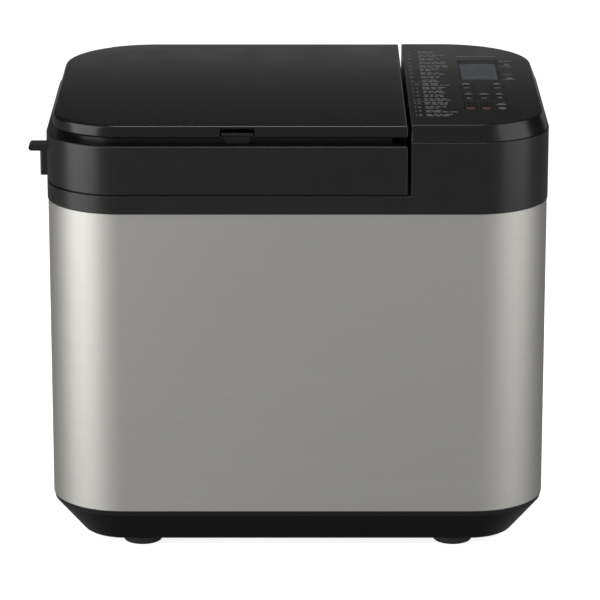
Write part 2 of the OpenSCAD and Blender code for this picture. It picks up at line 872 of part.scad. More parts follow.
module lid_shell() {
    grip_low_z = lid_z + grip_rise;
    color(c_black) at_case() difference() {
        union() {
            difference() {
                left_of(lid_right_x) slab(0, lid_z, deck_z);
                left_of(lid_right_x - wall) slab(wall, lid_z - 1, deck_z - wall);
            }
            // The upstand that the dispenser lid closes over
            difference() {
                left_of(lid_right_x - 12) plate_slab(12, deck_z - 1, plate_z - 0.5);
                left_of(lid_right_x - 14) plate_slab(14, deck_z - 2, plate_z);
            }
            // The solid rear edge that turns on the hinge pins
            intersection() {
                left_of(lid_right_x) slab(0, lid_z, lid_hinge_z + 3);
                block([-case_w, lid_hinge_y - 10, 0], [case_w, back_y, top_z]);
            }
            for (x = lid_hinge_x) {
                block([x - lug_w / 2, plate_hinge_y - lug_r, deck_z - 1],
                    [x + lug_w / 2, plate_hinge_y + lug_r, plate_hinge_z]);
                rod_x(plate_hinge_y, plate_hinge_z, lug_r, x - lug_w / 2, x + lug_w / 2);
            }
            for (side = [-1, 1])
                block([notch_x + side * (catch_half + 1.5) - 1, plate_front_y + 15, deck_z - 1],
                    [notch_x + side * (catch_half + 1.5) + 1, plate_front_y + 30, deck_z + 3]);
            // The grip: a finger tab with a web below it
            block([-case_w / 2 - grip_reach, grip_y, grip_low_z],
                [-case_w / 2 + 1, grip_y + grip_d, grip_low_z + grip_t]);
            block([-case_w / 2 - grip_web, grip_y, lid_z],
                [-case_w / 2 + 1, grip_y + grip_d, grip_low_z + 1]);
        }
        difference() {
            block([-case_w, lid_hinge_y, lid_z - 1], [case_w, back_y + 1, lid_hinge_z]);
            rod_x(lid_hinge_y, lid_hinge_z, lid_barrel_r, -case_w - 1, case_w + 1);
        }
        for (x = lid_hinge_x) {
            slot = ear_r + run_gap;
            block([x - ear_w / 2 - run_gap, lid_hinge_y - slot, lid_z - 1],
                [x + ear_w / 2 + run_gap, back_y + 1, lid_hinge_z + slot]);
            rod_x(lid_hinge_y, lid_hinge_z, hinge_pin_r + shaft_gap,
                x - hinge_pin_l / 2, x + hinge_pin_l / 2);
            rod_x(plate_hinge_y, plate_hinge_z, plate_pin_r + fit_gap, x - lug_w, x + lug_w);
        }
        block([notch_x - catch_half - run_gap, plate_front_y + 11, deck_z],
            [notch_x + catch_half + run_gap, plate_front_y + 15, deck_z + 2.8]);
        translate([nut_x, 0, 0]) tub(nut_w + 2, nut_d + 8, 2, deck_z - wall - 1, deck_z + 1);
        post(yeast_x, 0, yeast_r + seat_gap, deck_z - wall - 1, deck_z + 1);
    }
}

module lid_base() {
    low = lid_z + 1.5;
    color(c_dark_grey) at_case() {
        difference() {
            left_of(lid_right_x - wall - seat_gap) slab(wall + seat_gap, low, low + 2.5);
            block([-case_w, lid_hinge_y - 10 - seat_gap, low - 1], [case_w, back_y, low + 4]);
            dispenser_openings(low - 1, low + 4);
        }
        for (x = [-side_x + boss_inset - 5, lid_right_x - 24]) for (y = [-100, 0, 100])
            post(x, y, 4, low + 2, deck_z - wall);
    }
}

// The openings below the two dispensers, for their flaps to swing through
module dispenser_openings(low, high) {
    translate([nut_x, 0, 0]) tub(nut_w + 8, nut_d + 12, 3, low, high);
    post(yeast_x, 0, yeast_r + 8, low, high);
}

module inner_lid() {
    low = lid_z + 0.3;
    color(c_alu) difference() {
        at_chamber() tub(chamber_w + 14, chamber_d + 14, chamber_r + 7, low, lid_z + 1.5);
        at_case() dispenser_openings(low - 1, lid_z + 2);
    }
}

module lid_seal() {
    low = frame_deck_z + 0.3;
    color(c_silicone) at_chamber() difference() {
        tub(chamber_w + 12, chamber_d + 12, chamber_r + 6, low, lid_z + 0.3);
        tub(chamber_w + 3, chamber_d + 3, chamber_r + 1.5, low - 1, lid_z + 1);
    }
}

module lid_hinge_pins() {
    reach = hinge_pin_l / 2 - 0.1;
    color(c_zinc) at_case() for (x = lid_hinge_x)
        rod_x(lid_hinge_y, lid_hinge_z, hinge_pin_r, x - reach, x + reach);
}

// The box's walls carry the flap's trunnions in two ears, outside its ends.
module nut_box() {
    hinge_x = nut_hinge_x - nut_x;
    ear_y = nut_d / 2 + 1.5;
    ear_top_z = cup_z + flap_ear_h;
    color(c_dark_grey) at_case() translate([nut_x, 0, 0]) difference() {
        union() {
            tub(nut_w, nut_d, 3, cup_z, rim_z);
            tub(nut_w + 12, nut_d + 16, 5, deck_z + 0.1, rim_z);
            for (side = [-1, 1]) {
                block([hinge_x - 3.5, side * ear_y - 1.5, flap_z - 3],
                    [hinge_x + 3.5, side * ear_y + 1.5, ear_top_z]);
                block([hinge_x - 3.5, side * (nut_d / 2 - 1) - 1, cup_z],
                    [hinge_x + 3.5, side * (nut_d / 2 - 1) + 1, ear_top_z]);
            }
        }
        tub(nut_w - 4, nut_d - 4, 1, cup_z - 1, rim_z + 1);
        rod_y(hinge_x, flap_z, trunnion_r + fit_gap, -nut_d, nut_d);
    }
}

module nut_flap() {
    half = nut_d / 2 - 1;
    trunnion = nut_d / 2 + 2.8;
    color(c_dark_grey) at_case() {
        block([nut_hinge_x, -half, flap_z - flap_t / 2], [nut_x + nut_w / 2, half, flap_z + flap_t / 2]);
        rod_y(nut_hinge_x, flap_z, flap_barrel_r, -half, half);
        rod_y(nut_hinge_x, flap_z, trunnion_r, -trunnion, trunnion);
    }
}

module yeast_cup() {
    hinge_x = yeast_hinge_x - yeast_x;
    color(c_dark_grey) at_case() translate([yeast_x, 0, 0]) difference() {
        union() {
            post(0, 0, yeast_r, cup_z, rim_z);
            post(0, 0, yeast_r + 5, deck_z + 0.1, rim_z);
            for (side = [-1, 1])
                block([hinge_x - 4, side * 14 - 1.5, flap_z - 3],
                    [hinge_x + 4, side * 14 + 1.5, cup_z + flap_ear_h]);
        }
        post(0, 0, yeast_r - 2, cup_z + 1.5, rim_z + 1);
        post(0, 0, flap_disc_r - 2, cup_z - 1, cup_z + 2);
        rod_y(hinge_x, flap_z, trunnion_r + fit_gap, -yeast_r, yeast_r);
    }
}

module yeast_flap() {
    color(c_dark_grey) at_case() {
        post(yeast_x, 0, flap_disc_r, flap_z - flap_t / 2, flap_z + flap_t / 2);
        block([yeast_x, -8, flap_z - flap_t / 2], [yeast_hinge_x, 8, flap_z + flap_t / 2]);
        rod_y(yeast_hinge_x, flap_z, flap_barrel_r, -12, 12);
        rod_y(yeast_hinge_x, flap_z, trunnion_r, -15.2, 15.2);
    }
}

module flap_solenoids() {
    low = lid_z + 4;
    color(c_copper) at_case() {
        block([nut_x + nut_w / 2 + 8, -12, low], [nut_x + nut_w / 2 + 22, 12, low + 18]);
        block([yeast_x - 7, yeast_r + 11, low], [yeast_x + 7, yeast_r + 31, low + 18]);
    }
}

// ---- Dispenser lid ----

module dispenser_plate() {
    color(c_black) at_case() difference() {
        union() {
            difference() {
                left_of(lid_right_x) plate_slab(0, plate_z, top_z);
                left_of(lid_right_x - lip_t) plate_slab(lip_t, plate_z - 1, top_z - plate_skin);
            }
            intersection() {
                left_of(lid_right_x) plate_slab(0, plate_z, top_z);
                block([-case_w, plate_hinge_y - 6, 0], [case_w, back_y, top_z]);
            }
        }
        difference() {
            block([-case_w, plate_hinge_y, plate_z - 1], [case_w, back_y + 1, plate_hinge_z]);
            rod_x(plate_hinge_y, plate_hinge_z, plate_barrel_r, -case_w - 1, case_w + 1);
        }
        for (x = lid_hinge_x) {
            slot = lug_r + run_gap;
            block([x - lug_w / 2 - run_gap, plate_hinge_y - slot, plate_z - 1],
                [x + lug_w / 2 + run_gap, back_y + 1, plate_hinge_z + slot]);
            rod_x(plate_hinge_y, plate_hinge_z, plate_pin_r + shaft_gap,
                x - plate_pin_l / 2, x + plate_pin_l / 2);
        }
        block([notch_x - notch_w / 2, front_y - 1, plate_z - 1],
            [notch_x + notch_w / 2, plate_front_y + lip_t + 1, top_z - plate_skin - 0.2]);
    }
}

module dispenser_liner() {
    low = plate_z + 1.5;
    color(c_dark_grey) at_case() {
        difference() {
            left_of(lid_right_x - lip_t - 1) plate_slab(lip_t + 1, low, low + 2);
            block([-case_w, plate_hinge_y - 7, low - 1], [case_w, back_y, low + 3]);
            block([notch_x - notch_w / 2 - 1, front_y, low - 1],
                [notch_x + notch_w / 2 + 1, plate_front_y + 20, low + 3]);
        }
        for (x = [-side_x + boss_inset, chamber_x + 20, lid_right_x - 16]) for (y = [-105, 105])
            post(x, y, 3, low + 1, top_z - plate_skin);
    }
}

module dispenser_seals() {
    low = deck_z + 1.9;
    high = plate_z + 1.5;
    color(c_silicone) at_case() {
        translate([nut_x, 0, 0]) difference() {
            tub(nut_w + 4, nut_d + 4, 5, low, high);
            tub(nut_w - 2, nut_d - 2, 2, low - 1, high + 1);
        }
        difference() {
            post(yeast_x, 0, yeast_r + 2, low, high);
            post(yeast_x, 0, yeast_r - 1, low - 1, high + 1);
        }
    }
}

module dispenser_hinge_pins() {
    reach = plate_pin_l / 2 - 0.1;
    color(c_zinc) at_case() for (x = lid_hinge_x)
        rod_x(plate_hinge_y, plate_hinge_z, plate_pin_r, x - reach, x + reach);
}

// A bar in the lip's notch, on a stem with a foot that slides under the upstand
module dispenser_catch() {
    half = notch_w / 2 - 1;
    low = deck_z + seat_gap;
    stem_y = plate_front_y + 5;
    color(c_black) at_case() {
        block([notch_x - half, plate_front_y + 0.6, plate_z + 0.8],
            [notch_x + half, stem_y + 3, plate_z + 4.4]);
        block([notch_x - catch_half, stem_y, low], [notch_x + catch_half, stem_y + 3, plate_z + 1]);
        block([notch_x - catch_half, stem_y, low], [notch_x + catch_half, stem_y + 22, low + 2]);
    }
}

// ---- Pan ----

module pan_base_ring() {
    flange_z = floor_z + seat_h + 0.3;
    color(c_alu) at_chamber() {
        difference() {
            union() {
                post(0, 0, seat_r, floor_z + 2, pan_z);
                post(0, 0, seat_r + 9, flange_z, pan_z);
            }
            post(0, 0, seat_r - 6, floor_z + 1, pan_z + 1);
        }
        for (turn = [0:90:270]) rotate([0, 0, turn + 45]) intersection() {
            difference() {
                post(0, 0, seat_r + 5, floor_z + 4.5, floor_z + 8.5);
                post(0, 0, seat_r - 3, floor_z + 4, floor_z + 9);
            }
            block([seat_r - 4, -lug_width / 2, floor_z + 4], [seat_r + 6, lug_width / 2, floor_z + 9]);
        }
    }
}

module pan_shell() {
    color(c_coat) at_chamber() difference() {
        union() {
            tub(pan_w, pan_d, pan_r, pan_z, pan_top_z);
            tub(pan_w + 8, pan_d + 8, pan_r + 4, pan_top_z - 4, pan_top_z);
        }
        tub(pan_w - 2 * pan_t, pan_d - 2 * pan_t, pan_r - pan_t, pan_z + pan_t, pan_top_z + 1);
        post(0, 0, bush_r + seat_gap / 2, pan_z - 1, pan_z + pan_t + 1);
    }
}

module pan_bush() {
    color(c_zinc) at_chamber() difference() {
        union() {
            post(0, 0, bush_r, coupling_z + 12.5, blade_z - run_gap);
            post(0, 0, bush_r + 6, coupling_z + 12.5, pan_z);
        }
        post(0, 0, shaft_r + fit_gap, coupling_z + 12, blade_z + 1);
    }
}

module pan_ears() {
    color(c_zinc) at_chamber() for (side = [-1, 1]) difference() {
        block([side > 0 ? pan_w / 2 : -pan_w / 2 - pan_ear_t, -pan_ear_half, bail_z - pan_ear_half],
            [side > 0 ? pan_w / 2 + pan_ear_t : -pan_w / 2, pan_ear_half, bail_z + pan_ear_half - 2]);
        rod_x(0, bail_z, bail_wire_r + fit_gap, side > 0 ? pan_w / 2 - 1 : -pan_w / 2 - 5,
            side > 0 ? pan_w / 2 + 5 : -pan_w / 2 + 1);
    }
}

// The bail lies forward on rest, beside the pan's rim.
module bail_wire() {
    y = bail_reach - bail_bend_r;
    x = bail_x - bail_bend_r;
    color(c_zinc) at_chamber() {
        for (side = [-1, 1]) {
            rod_x(0, bail_z, bail_wire_r, side > 0 ? pan_w / 2 + 0.3 : -bail_x,
                side > 0 ? bail_x : -pan_w / 2 - 0.3);
            translate([side * bail_x, 0, bail_z]) sphere(r = bail_wire_r);
            rod_y(side * bail_x, bail_z, bail_wire_r, -y, 0);
            translate([side * x, -y, bail_z])
                rotate([0, 0, side > 0 ? 270 : 180])
                    rotate_extrude(angle = 90) translate([bail_bend_r, 0]) circle(r = bail_wire_r);
        }
        rod_x(-bail_reach, bail_z, bail_wire_r, -x, x);
    }
}

base_tray();
rubber_feet();
base_screws();
steel_case();
top_frame();
chassis_plate();
cord_gland();
oven_liner();
heat_shield();
heater_element();
heater_brackets();
temperature_sensor();
pan_seat();
drive_bearing();
motor_body();
drive_belt();
power_board();
power_parts();
ribbon_cable();
panel_cover();
panel_window();
lcd_module();
control_board();
tact_switches();
lid_shell();
lid_base();
inner_lid();
lid_seal();
lid_hinge_pins();
nut_box();
yeast_cup();
flap_solenoids();
dispenser_plate();
dispenser_liner();
dispenser_seals();
dispenser_hinge_pins();
dispenser_catch();
nut_flap();
yeast_flap();
drive_pulley();
drive_shaft();
drive_coupling();
blade_shaft();
kneading_blade();
motor_shaft();
motor_pulley();
motor_fan();
pan_shell();
pan_base_ring();
pan_bush();
pan_ears();
bail_wire();
key(1);  // key_1
key(2);  // key_2
key(3);  // key_3
key(4);  // key_4
key(5);  // key_5
key(6);  // key_6
key(7);  // key_7
key(8);  // key_8
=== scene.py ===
# %% [markdown]
# # A worktop bread machine
# The real object is a steel case on a tapered black base, with a hinged lid over the baking chamber,
# a smaller lid over the two dispensers, and a sloped-edge control panel beside them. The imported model
# gives every piece its place and its motion. This lesson loads it, then dresses it: the outer skins
# are made again as meshes with soft edges, and every piece gets a finish made of nodes.

import json
import math
import random

import bmesh
import bpy
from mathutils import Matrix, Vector


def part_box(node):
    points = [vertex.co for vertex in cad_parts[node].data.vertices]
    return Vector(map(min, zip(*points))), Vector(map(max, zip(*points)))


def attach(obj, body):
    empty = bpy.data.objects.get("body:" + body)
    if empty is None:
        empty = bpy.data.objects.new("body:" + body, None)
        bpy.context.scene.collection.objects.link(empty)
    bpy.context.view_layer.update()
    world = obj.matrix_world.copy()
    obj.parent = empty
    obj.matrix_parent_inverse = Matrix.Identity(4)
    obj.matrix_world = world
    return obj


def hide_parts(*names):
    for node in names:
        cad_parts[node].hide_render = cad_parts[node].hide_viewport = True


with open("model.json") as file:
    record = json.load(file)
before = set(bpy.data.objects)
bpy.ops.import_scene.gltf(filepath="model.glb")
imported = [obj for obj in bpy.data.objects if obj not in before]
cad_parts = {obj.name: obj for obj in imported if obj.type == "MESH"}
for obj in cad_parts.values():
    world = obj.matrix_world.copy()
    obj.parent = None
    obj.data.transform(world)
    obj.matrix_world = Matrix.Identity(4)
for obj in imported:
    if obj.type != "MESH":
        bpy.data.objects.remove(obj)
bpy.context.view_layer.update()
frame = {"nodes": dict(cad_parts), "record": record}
cad_nodes = frame["nodes"]

# %% [markdown]
# ## Camera
# A long lens, used from far away, keeps upright edges upright and near and far parts alike in size.
# The camera stands three metres in front of the machine and looks down by about sixteen degrees.

# %% Camera
CAMERA_PLACE, CAMERA_TILT, CAMERA_LENS, SENSOR_WIDTH = (0.0094, -2.8858, 1.0199), 73.6, 217, 36


def in_scene(name, data):
    """A new object with its data, linked into the scene."""
    thing = bpy.data.objects.new(name, data)
    bpy.context.scene.collection.objects.link(thing)
    return thing


camera = in_scene("camera", bpy.data.cameras.new("camera"))
camera.location = CAMERA_PLACE
camera.rotation_euler = (math.radians(CAMERA_TILT), 0, 0)
camera.data.sensor_width = SENSOR_WIDTH
camera.data.lens = CAMERA_LENS
bpy.context.scene.camera = camera
print("camera:", round(camera.location.length, 2), "m from the origin")

# %% [markdown]
# ## Studio
# Steel and black plastic show little colour of their own: they show the room. A plain room works
# best: light grey in front of the machine and on the floor, darker behind it and straight below, with
# a large soft light on either side, which draws the bright bands down the rounded corners. The lights
# are area lights, because a lamp with a size gives a reflection with a size.

# %% Room light
ROOM_FRONT, ROOM_BEHIND = 0.38, 0.03
FLOOR_FRONT, FLOOR_BEHIND, FLOOR_BELOW = 0.40, 0.16, 0.05


def studio_world():
    """A world of greys: by height below the horizon, and from front to back above it."""
    world = bpy.data.worlds.new("studio_air")
    world.use_nodes = True
    tree = world.node_tree
    direction = tree.nodes.new("ShaderNodeTexCoord")
    parts = tree.nodes.new("ShaderNodeSeparateXYZ")
    tree.links.new(direction.outputs["Generated"], parts.inputs[0])

    def graded(axis, start, end, low, high):
        """A smooth step from one grey to another, along an axis of the direction looked in."""
        ramp = tree.nodes.new("ShaderNodeMapRange")
        numbers = {"From Min": start, "From Max": end, "To Min": low, "To Max": high}
        for socket, value in numbers.items():
            ramp.inputs[socket].default_value = value
        ramp.interpolation_type = "SMOOTHSTEP"
        tree.links.new(parts.outputs[axis], ramp.inputs["Value"])
        return ramp

    mix = tree.nodes.new("ShaderNodeMix")
    floor = graded("Z", -1.0, -0.45, FLOOR_BELOW, 1)
    far_floor = graded("Y", -0.2, 0.8, FLOOR_FRONT, FLOOR_BEHIND)
    tree.links.new(far_floor.outputs["Result"], floor.inputs["To Max"])
    tree.links.new(graded("Z", -0.25, -0.05, 0, 1).outputs["Result"], mix.inputs["Factor"])
    tree.links.new(floor.outputs["Result"], mix.inputs["A"])
    tree.links.new(graded("Y", -0.4, 0.4, ROOM_FRONT, ROOM_BEHIND).outputs["Result"], mix.inputs["B"])
    tree.links.new(mix.outputs["Result"], tree.nodes["Background"].inputs["Color"])
    return world


bpy.context.scene.world = studio_world()
bpy.context.scene.view_settings.view_transform = "Standard"


def soft_light(name, place, aim, width, height, watts):
    """A rectangle of light at a place, turned to what it lights."""
    light = bpy.data.lights.new(name, "AREA")
    light.shape = "RECTANGLE"
    light.size = width
    light.size_y = height
    light.energy = watts
    lamp = in_scene(name, light)
    lamp.location = place
    lamp.rotation_euler = (Vector(aim) - Vector(place)).to_track_quat("-Z", "Y").to_euler()
    lamp.visible_camera = False
    return lamp


LIT_HEIGHT, CASE_HEIGHT = 0.25, 0.356
soft_light("left_softbox", (-1.06, -0.58, 0.54), (0, 0, LIT_HEIGHT), 1.1, 1.3, 13.5)
soft_light("right_softbox", (1.10, -0.50, 0.60), (0, 0, LIT_HEIGHT), 1.0, 1.3, 7)
soft_light("top_softbox", (0, -0.2, 2.0), (0, 0, 0), 0.8, 0.8, 12)
soft_light("rear_card", (0, 0.36, 0.36), (0, 0, CASE_HEIGHT), 1.2, 0.13, 0.12)

# %% [markdown]
# ## Floor and backdrop
# The floor is a plain pale sweep. It glows a little by itself, like paper lit from behind, and is
# hidden from reflections, so that it can be white without bleaching the steel.

# %% Floor
STAGE_R, FLOOR_MIDDLE_R, DOME_STEP = 8, 1.5, 10


def stage_sheet(name, outline, glow):
    """A pale sheet that only the camera sees, marked as stage."""
    shape = bmesh.new()
    rings = [[shape.verts.new(point) for point in ring] for ring in outline]
    for low, high in zip(rings, rings[1:]):
        for i in range(len(low)):
            shape.faces.new((low[i - 1], low[i], high[i], high[i - 1]))
    shape.faces.new(rings[0])
    mesh = bpy.data.meshes.new(name)
    shape.to_mesh(mesh)
    shape.free()
    paper = bpy.data.materials.new(name)
    paper.use_nodes = True
    shader = paper.node_tree.nodes["Principled BSDF"]
    shader.inputs["Base Color"].default_value = (0.8, 0.8, 0.8, 1)
    shader.inputs["Roughness"].default_value = 0.9
    shader.inputs["Specular IOR Level"].default_value = 0
    shader.inputs["Emission Color"].default_value = (1, 1, 1, 1)
    shader.inputs["Emission Strength"].default_value = glow
    mesh.materials.append(paper)
    sheet = in_scene(name, mesh)
    sheet.visible_glossy = False
    sheet.visible_diffuse = False
    sheet.visible_shadow = False
    return sheet


def circle_points(radius, z, count=64):
    """Points round the origin at one height."""
    turns = [2 * math.pi * i / count for i in range(count)]
    return [(radius * math.cos(turn), radius * math.sin(turn), z) for turn in turns]


stage_sheet("floor_sheet", [circle_points(FLOOR_MIDDLE_R, 0), circle_points(STAGE_R, 0)], 0.85)
dome = []
for step in reversed(range(9)):
    rise = math.radians(DOME_STEP * step)
    dome.append(circle_points(STAGE_R * math.cos(rise), STAGE_R * math.sin(rise)))
stage_sheet("backdrop", dome, 1.0)
print("stage: floor and backdrop")

# %% [markdown]
# ## Finishes
# Each finish is one Principled shader. Numbers that are the same all over go straight on its sockets,
# and what varies comes from noise in the piece's own space: grain, wear and relief stay where they
# are when a lid swings.

# %% Finish helpers
def shader_of(material):
    """The one shader of a finish."""
    return material.node_tree.nodes["Principled BSDF"]


def finish(name, color, **numbers):
    """A new material, its base colour and the shader's plain numbers."""
    material = bpy.data.materials.new(name)
    material.use_nodes = True
    shader = shader_of(material)
    shader.inputs["Base Color"].default_value = (*color, 1)
    for socket, value in numbers.items():
        shader.inputs[socket.replace("_", " ")].default_value = value
    return material


def grain(material, scale, detail=3.0, stretch=(1, 1, 1)):
    """Noise with so many grains to the metre, stretched along the axes; returns its output."""
    tree = material.node_tree
    place = tree.nodes.new("ShaderNodeTexCoord")
    squeeze = tree.nodes.new("ShaderNodeMapping")
    squeeze.inputs["Scale"].default_value = stretch
    noise = tree.nodes.new("ShaderNodeTexNoise")
    noise.inputs["Scale"].default_value = scale
    noise.inputs["Detail"].default_value = detail
    tree.links.new(place.outputs["Object"], squeeze.inputs["Vector"])
    tree.links.new(squeeze.outputs["Vector"], noise.inputs["Vector"])
    return noise.outputs["Fac"]


def spread(material, value, low, high, start=0.3, end=0.7):
    """Maps a texture's middle range onto low to high; returns the output."""
    ramp = material.node_tree.nodes.new("ShaderNodeMapRange")
    numbers = {"From Min": start, "From Max": end, "To Min": low, "To Max": high}
    for socket, number in numbers.items():
        ramp.inputs[socket].default_value = number
    material.node_tree.links.new(value, ramp.inputs["Value"])
    return ramp.outputs["Result"]


def vary_roughness(material, value, low, high):
    """Moves the roughness between two values by a texture."""
    rough = spread(material, value, low, high)
    material.node_tree.links.new(rough, shader_of(material).inputs["Roughness"])


def vary_color(material, value, low, high, start=0.3, end=0.7):
    """Blends between two colours by a texture."""
    tree = material.node_tree
    mix = tree.nodes.new("ShaderNodeMix")
    mix.data_type = "RGBA"
    mix.inputs["A"].default_value = (*low, 1)
    mix.inputs["B"].default_value = (*high, 1)
    tree.links.new(spread(material, value, 0, 1, start, end), mix.inputs["Factor"])
    tree.links.new(mix.outputs["Result"], shader_of(material).inputs["Base Color"])


def relief(material, value, height, strength=1.0):
    """Turns a texture into relief of a height in metres."""
    tree = material.node_tree
    bump = tree.nodes.new("ShaderNodeBump")
    bump.inputs["Distance"].default_value = height
    bump.inputs["Strength"].default_value = strength
    tree.links.new(value, bump.inputs["Height"])
    tree.links.new(bump.outputs["Normal"], shader_of(material).inputs["Normal"])


print("finish helpers: grain and spread feed vary_roughness, vary_color and relief")

# %% [markdown]
# ### Brushed steel
# The wrap is stainless sheet, brushed along its length, so the fine lines run level round the case.
# Light spreads across the lines, up and down, and stays fairly sharp along them. The shader's
# anisotropy does that, with a tangent that circles the upright axis; the lines themselves are noise
# that is long in X and Y and a fraction of a millimetre high.

# %% Brushed steel
FINE = 0.00001


def brushed_steel():
    """Stainless sheet with level brush lines."""
    material = finish("brushed_steel", (0.56, 0.55, 0.525), Metallic=1.0, Roughness=0.56,
                      Anisotropic=0.25, Anisotropic_Rotation=0.25)
    tree = material.node_tree
    around = tree.nodes.new("ShaderNodeTangent")
    around.direction_type = "RADIAL"
    around.axis = "Z"
    tree.links.new(around.outputs["Tangent"], shader_of(material).inputs["Tangent"])
    lines = grain(material, 1, 4, (9, 9, 2600))
    vary_color(material, lines, (0.545, 0.537, 0.511), (0.577, 0.569, 0.541))
    vary_roughness(material, grain(material, 1, 3, (3, 3, 900)), 0.55, 0.57)
    relief(material, lines, FINE)
    return material


print("brush lines:", FINE / 0.001, "mm deep")

# %% [markdown]
# ### Plastic, rubber and plain metal
# Most of the machine is moulded plastic, which is never quite even: its tone clouds a little, and the
# spark-eroded texture of the mould breaks its shine. Rubber and silicone are the same with a coarser,
# duller skin. Rolled and turned metal is clouded along the way it was worked. One function makes each
# family, because only the colours, the grain and the roughness differ.

# %% Plastic and metal
def plastic(name, low, high, roughness, bump_scale=1400, bump_height=FINE, **numbers):
    """Moulded plastic: a faint cloud of tone, and the fine spark-eroded texture of the mould."""
    material = finish(name, low, **numbers)
    vary_color(material, grain(material, 60), low, high)
    vary_roughness(material, grain(material, 25), roughness - 0.03, roughness + 0.03)
    relief(material, grain(material, bump_scale, 2), bump_height)
    return material


def sheet_metal(name, low, high, roughness, stretch=(1, 1, 1), scale=400):
    """Plain metal: faint clouds in tone and roughness, along the direction it was rolled."""
    material = finish(name, low, Metallic=1.0, Roughness=roughness)
    clouds = grain(material, scale, 4, stretch)
    vary_color(material, clouds, low, high)
    vary_roughness(material, clouds, roughness - 0.06, roughness + 0.06)
    relief(material, clouds, 0.000008)
    return material


print("plastic clouds in tone, sheet metal along the way it was worked")

# %% [markdown]
# ### Finishes with a pattern
# Some finishes have a pattern that plain noise can't give. Zinc plate grows flat crystals, which are
# the cells of a Voronoi texture. The pan's coating has light speckles, the peaks of a fine noise. A
# circuit board has blocks between its tracks, laid like bricks. Wound copper has close level turns,
# and the window is thin tinted plastic, mostly see-through.

# %% Patterned finishes
def zinc_plate():
    """Galvanised sheet, with its large flat crystals."""
    material = finish("zinc_plate", (0.55, 0.56, 0.58), Metallic=1.0, Roughness=0.4)
    tree = material.node_tree
    place = tree.nodes.new("ShaderNodeTexCoord")
    crystals = tree.nodes.new("ShaderNodeTexVoronoi")
    crystals.inputs["Scale"].default_value = 110
    tree.links.new(place.outputs["Object"], crystals.inputs["Vector"])
    tone = tree.nodes.new("ShaderNodeSeparateColor")
    tree.links.new(crystals.outputs["Color"], tone.inputs["Color"])
    vary_color(material, tone.outputs["Red"], (0.46, 0.47, 0.50), (0.62, 0.63, 0.65), 0, 1)
    vary_roughness(material, tone.outputs["Green"], 0.3, 0.45)
    return material


def coated_pan():
    """Non-stick coating: dark grey with fine light speckles."""
    material = finish("pan_coating", (0.08, 0.08, 0.082), Roughness=0.4, Metallic=0.2)
    vary_color(material, grain(material, 900, 1), (0.035, 0.035, 0.037), (0.16, 0.16, 0.165), 0.6, 0.72)
    vary_roughness(material, grain(material, 200), 0.34, 0.46)
    relief(material, grain(material, 900, 1), 0.00002)
    return material


def circuit_board():
    """Green lacquer over copper tracks: a grid of blocks, some of them lighter."""
    material = finish("circuit_board", (0.02, 0.12, 0.05), Roughness=0.35)
    tree = material.node_tree
    place = tree.nodes.new("ShaderNodeTexCoord")
    tracks = tree.nodes.new("ShaderNodeTexBrick")
    tracks.inputs["Scale"].default_value = 90
    tracks.inputs["Color1"].default_value = (0.015, 0.09, 0.04, 1)
    tracks.inputs["Color2"].default_value = (0.02, 0.13, 0.055, 1)
    tracks.inputs["Mortar"].default_value = (0.05, 0.22, 0.10, 1)
    tracks.inputs["Mortar Size"].default_value = 0.03
    tree.links.new(place.outputs["Object"], tracks.inputs["Vector"])
    tree.links.new(tracks.outputs["Color"], shader_of(material).inputs["Base Color"])
    relief(material, tracks.outputs["Fac"], 0.00003)
    return material


print("patterns: crystals, speckles and tracks")

# %% Window and winding
def smoked_window():
    """Thin tinted window: mostly clear, with a glossy skin."""
    material = finish("smoked_window", (0.03, 0.035, 0.045), Roughness=0.12, Alpha=0.35)
    vary_roughness(material, grain(material, 40), 0.1, 0.16)
    return material


def wound_copper():
    """Enamelled wire, wound in close turns."""
    material = finish("copper_winding", (0.6, 0.25, 0.1), Metallic=1.0, Roughness=0.35)
    turns = grain(material, 1, 1, (20, 20, 2500))
    vary_color(material, turns, (0.45, 0.17, 0.07), (0.75, 0.36, 0.18))
    relief(material, turns, 0.0001)
    return material


print("window and winding are ready")

# %% [markdown]
# ### One finish for each slot
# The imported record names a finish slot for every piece. Each finish is made once, under its slot's
# name, and every CAD piece takes the finish of its slot, so what isn't modelled again below is
# dressed as well.

# %% All finishes
SOFT_SHINE = {"Specular_IOR_Level": 0.4}
FINISHES = {
    "brushed_steel": brushed_steel(),
    "black_satin": plastic("black_satin", (0.0065, 0.0065, 0.0063), (0.0085, 0.0085, 0.0082), 0.32,
                           **SOFT_SHINE),
    "black_gloss": plastic("black_gloss", (0.0036, 0.0037, 0.0032), (0.0048, 0.0049, 0.0043), 0.24,
                           **SOFT_SHINE),
    "dark_plastic": plastic("dark_plastic", (0.020, 0.020, 0.021), (0.028, 0.028, 0.029), 0.5),
    "sheet_steel": zinc_plate(),
    "machined_steel": sheet_metal("machined_steel", (0.55, 0.56, 0.57), (0.68, 0.68, 0.69), 0.25,
                                  stretch=(1, 1, 12)),
    "aluminium": sheet_metal("aluminium", (0.68, 0.69, 0.70), (0.77, 0.77, 0.78), 0.38,
                             stretch=(1, 8, 1)),
    "pan_coating": coated_pan(),
    "black_rubber": plastic("black_rubber", (0.010, 0.010, 0.010), (0.016, 0.016, 0.016), 0.7,
                            bump_scale=900, bump_height=0.00004),
    "silicone": plastic("silicone", (0.30, 0.30, 0.29), (0.36, 0.36, 0.35), 0.55,
                        bump_scale=700, bump_height=0.00002),
    "circuit_board": circuit_board(),
    "clear_window": smoked_window(),
    "display": plastic("display", (0.30, 0.315, 0.36), (0.33, 0.345, 0.39), 0.3),
    "copper_winding": wound_copper(),
}
for row in frame["record"]["subparts"]:
    cad_nodes[row["node"]].data.materials[0] = FINISHES[row["material_slot"]]
print("finishes:", len(FINISHES))

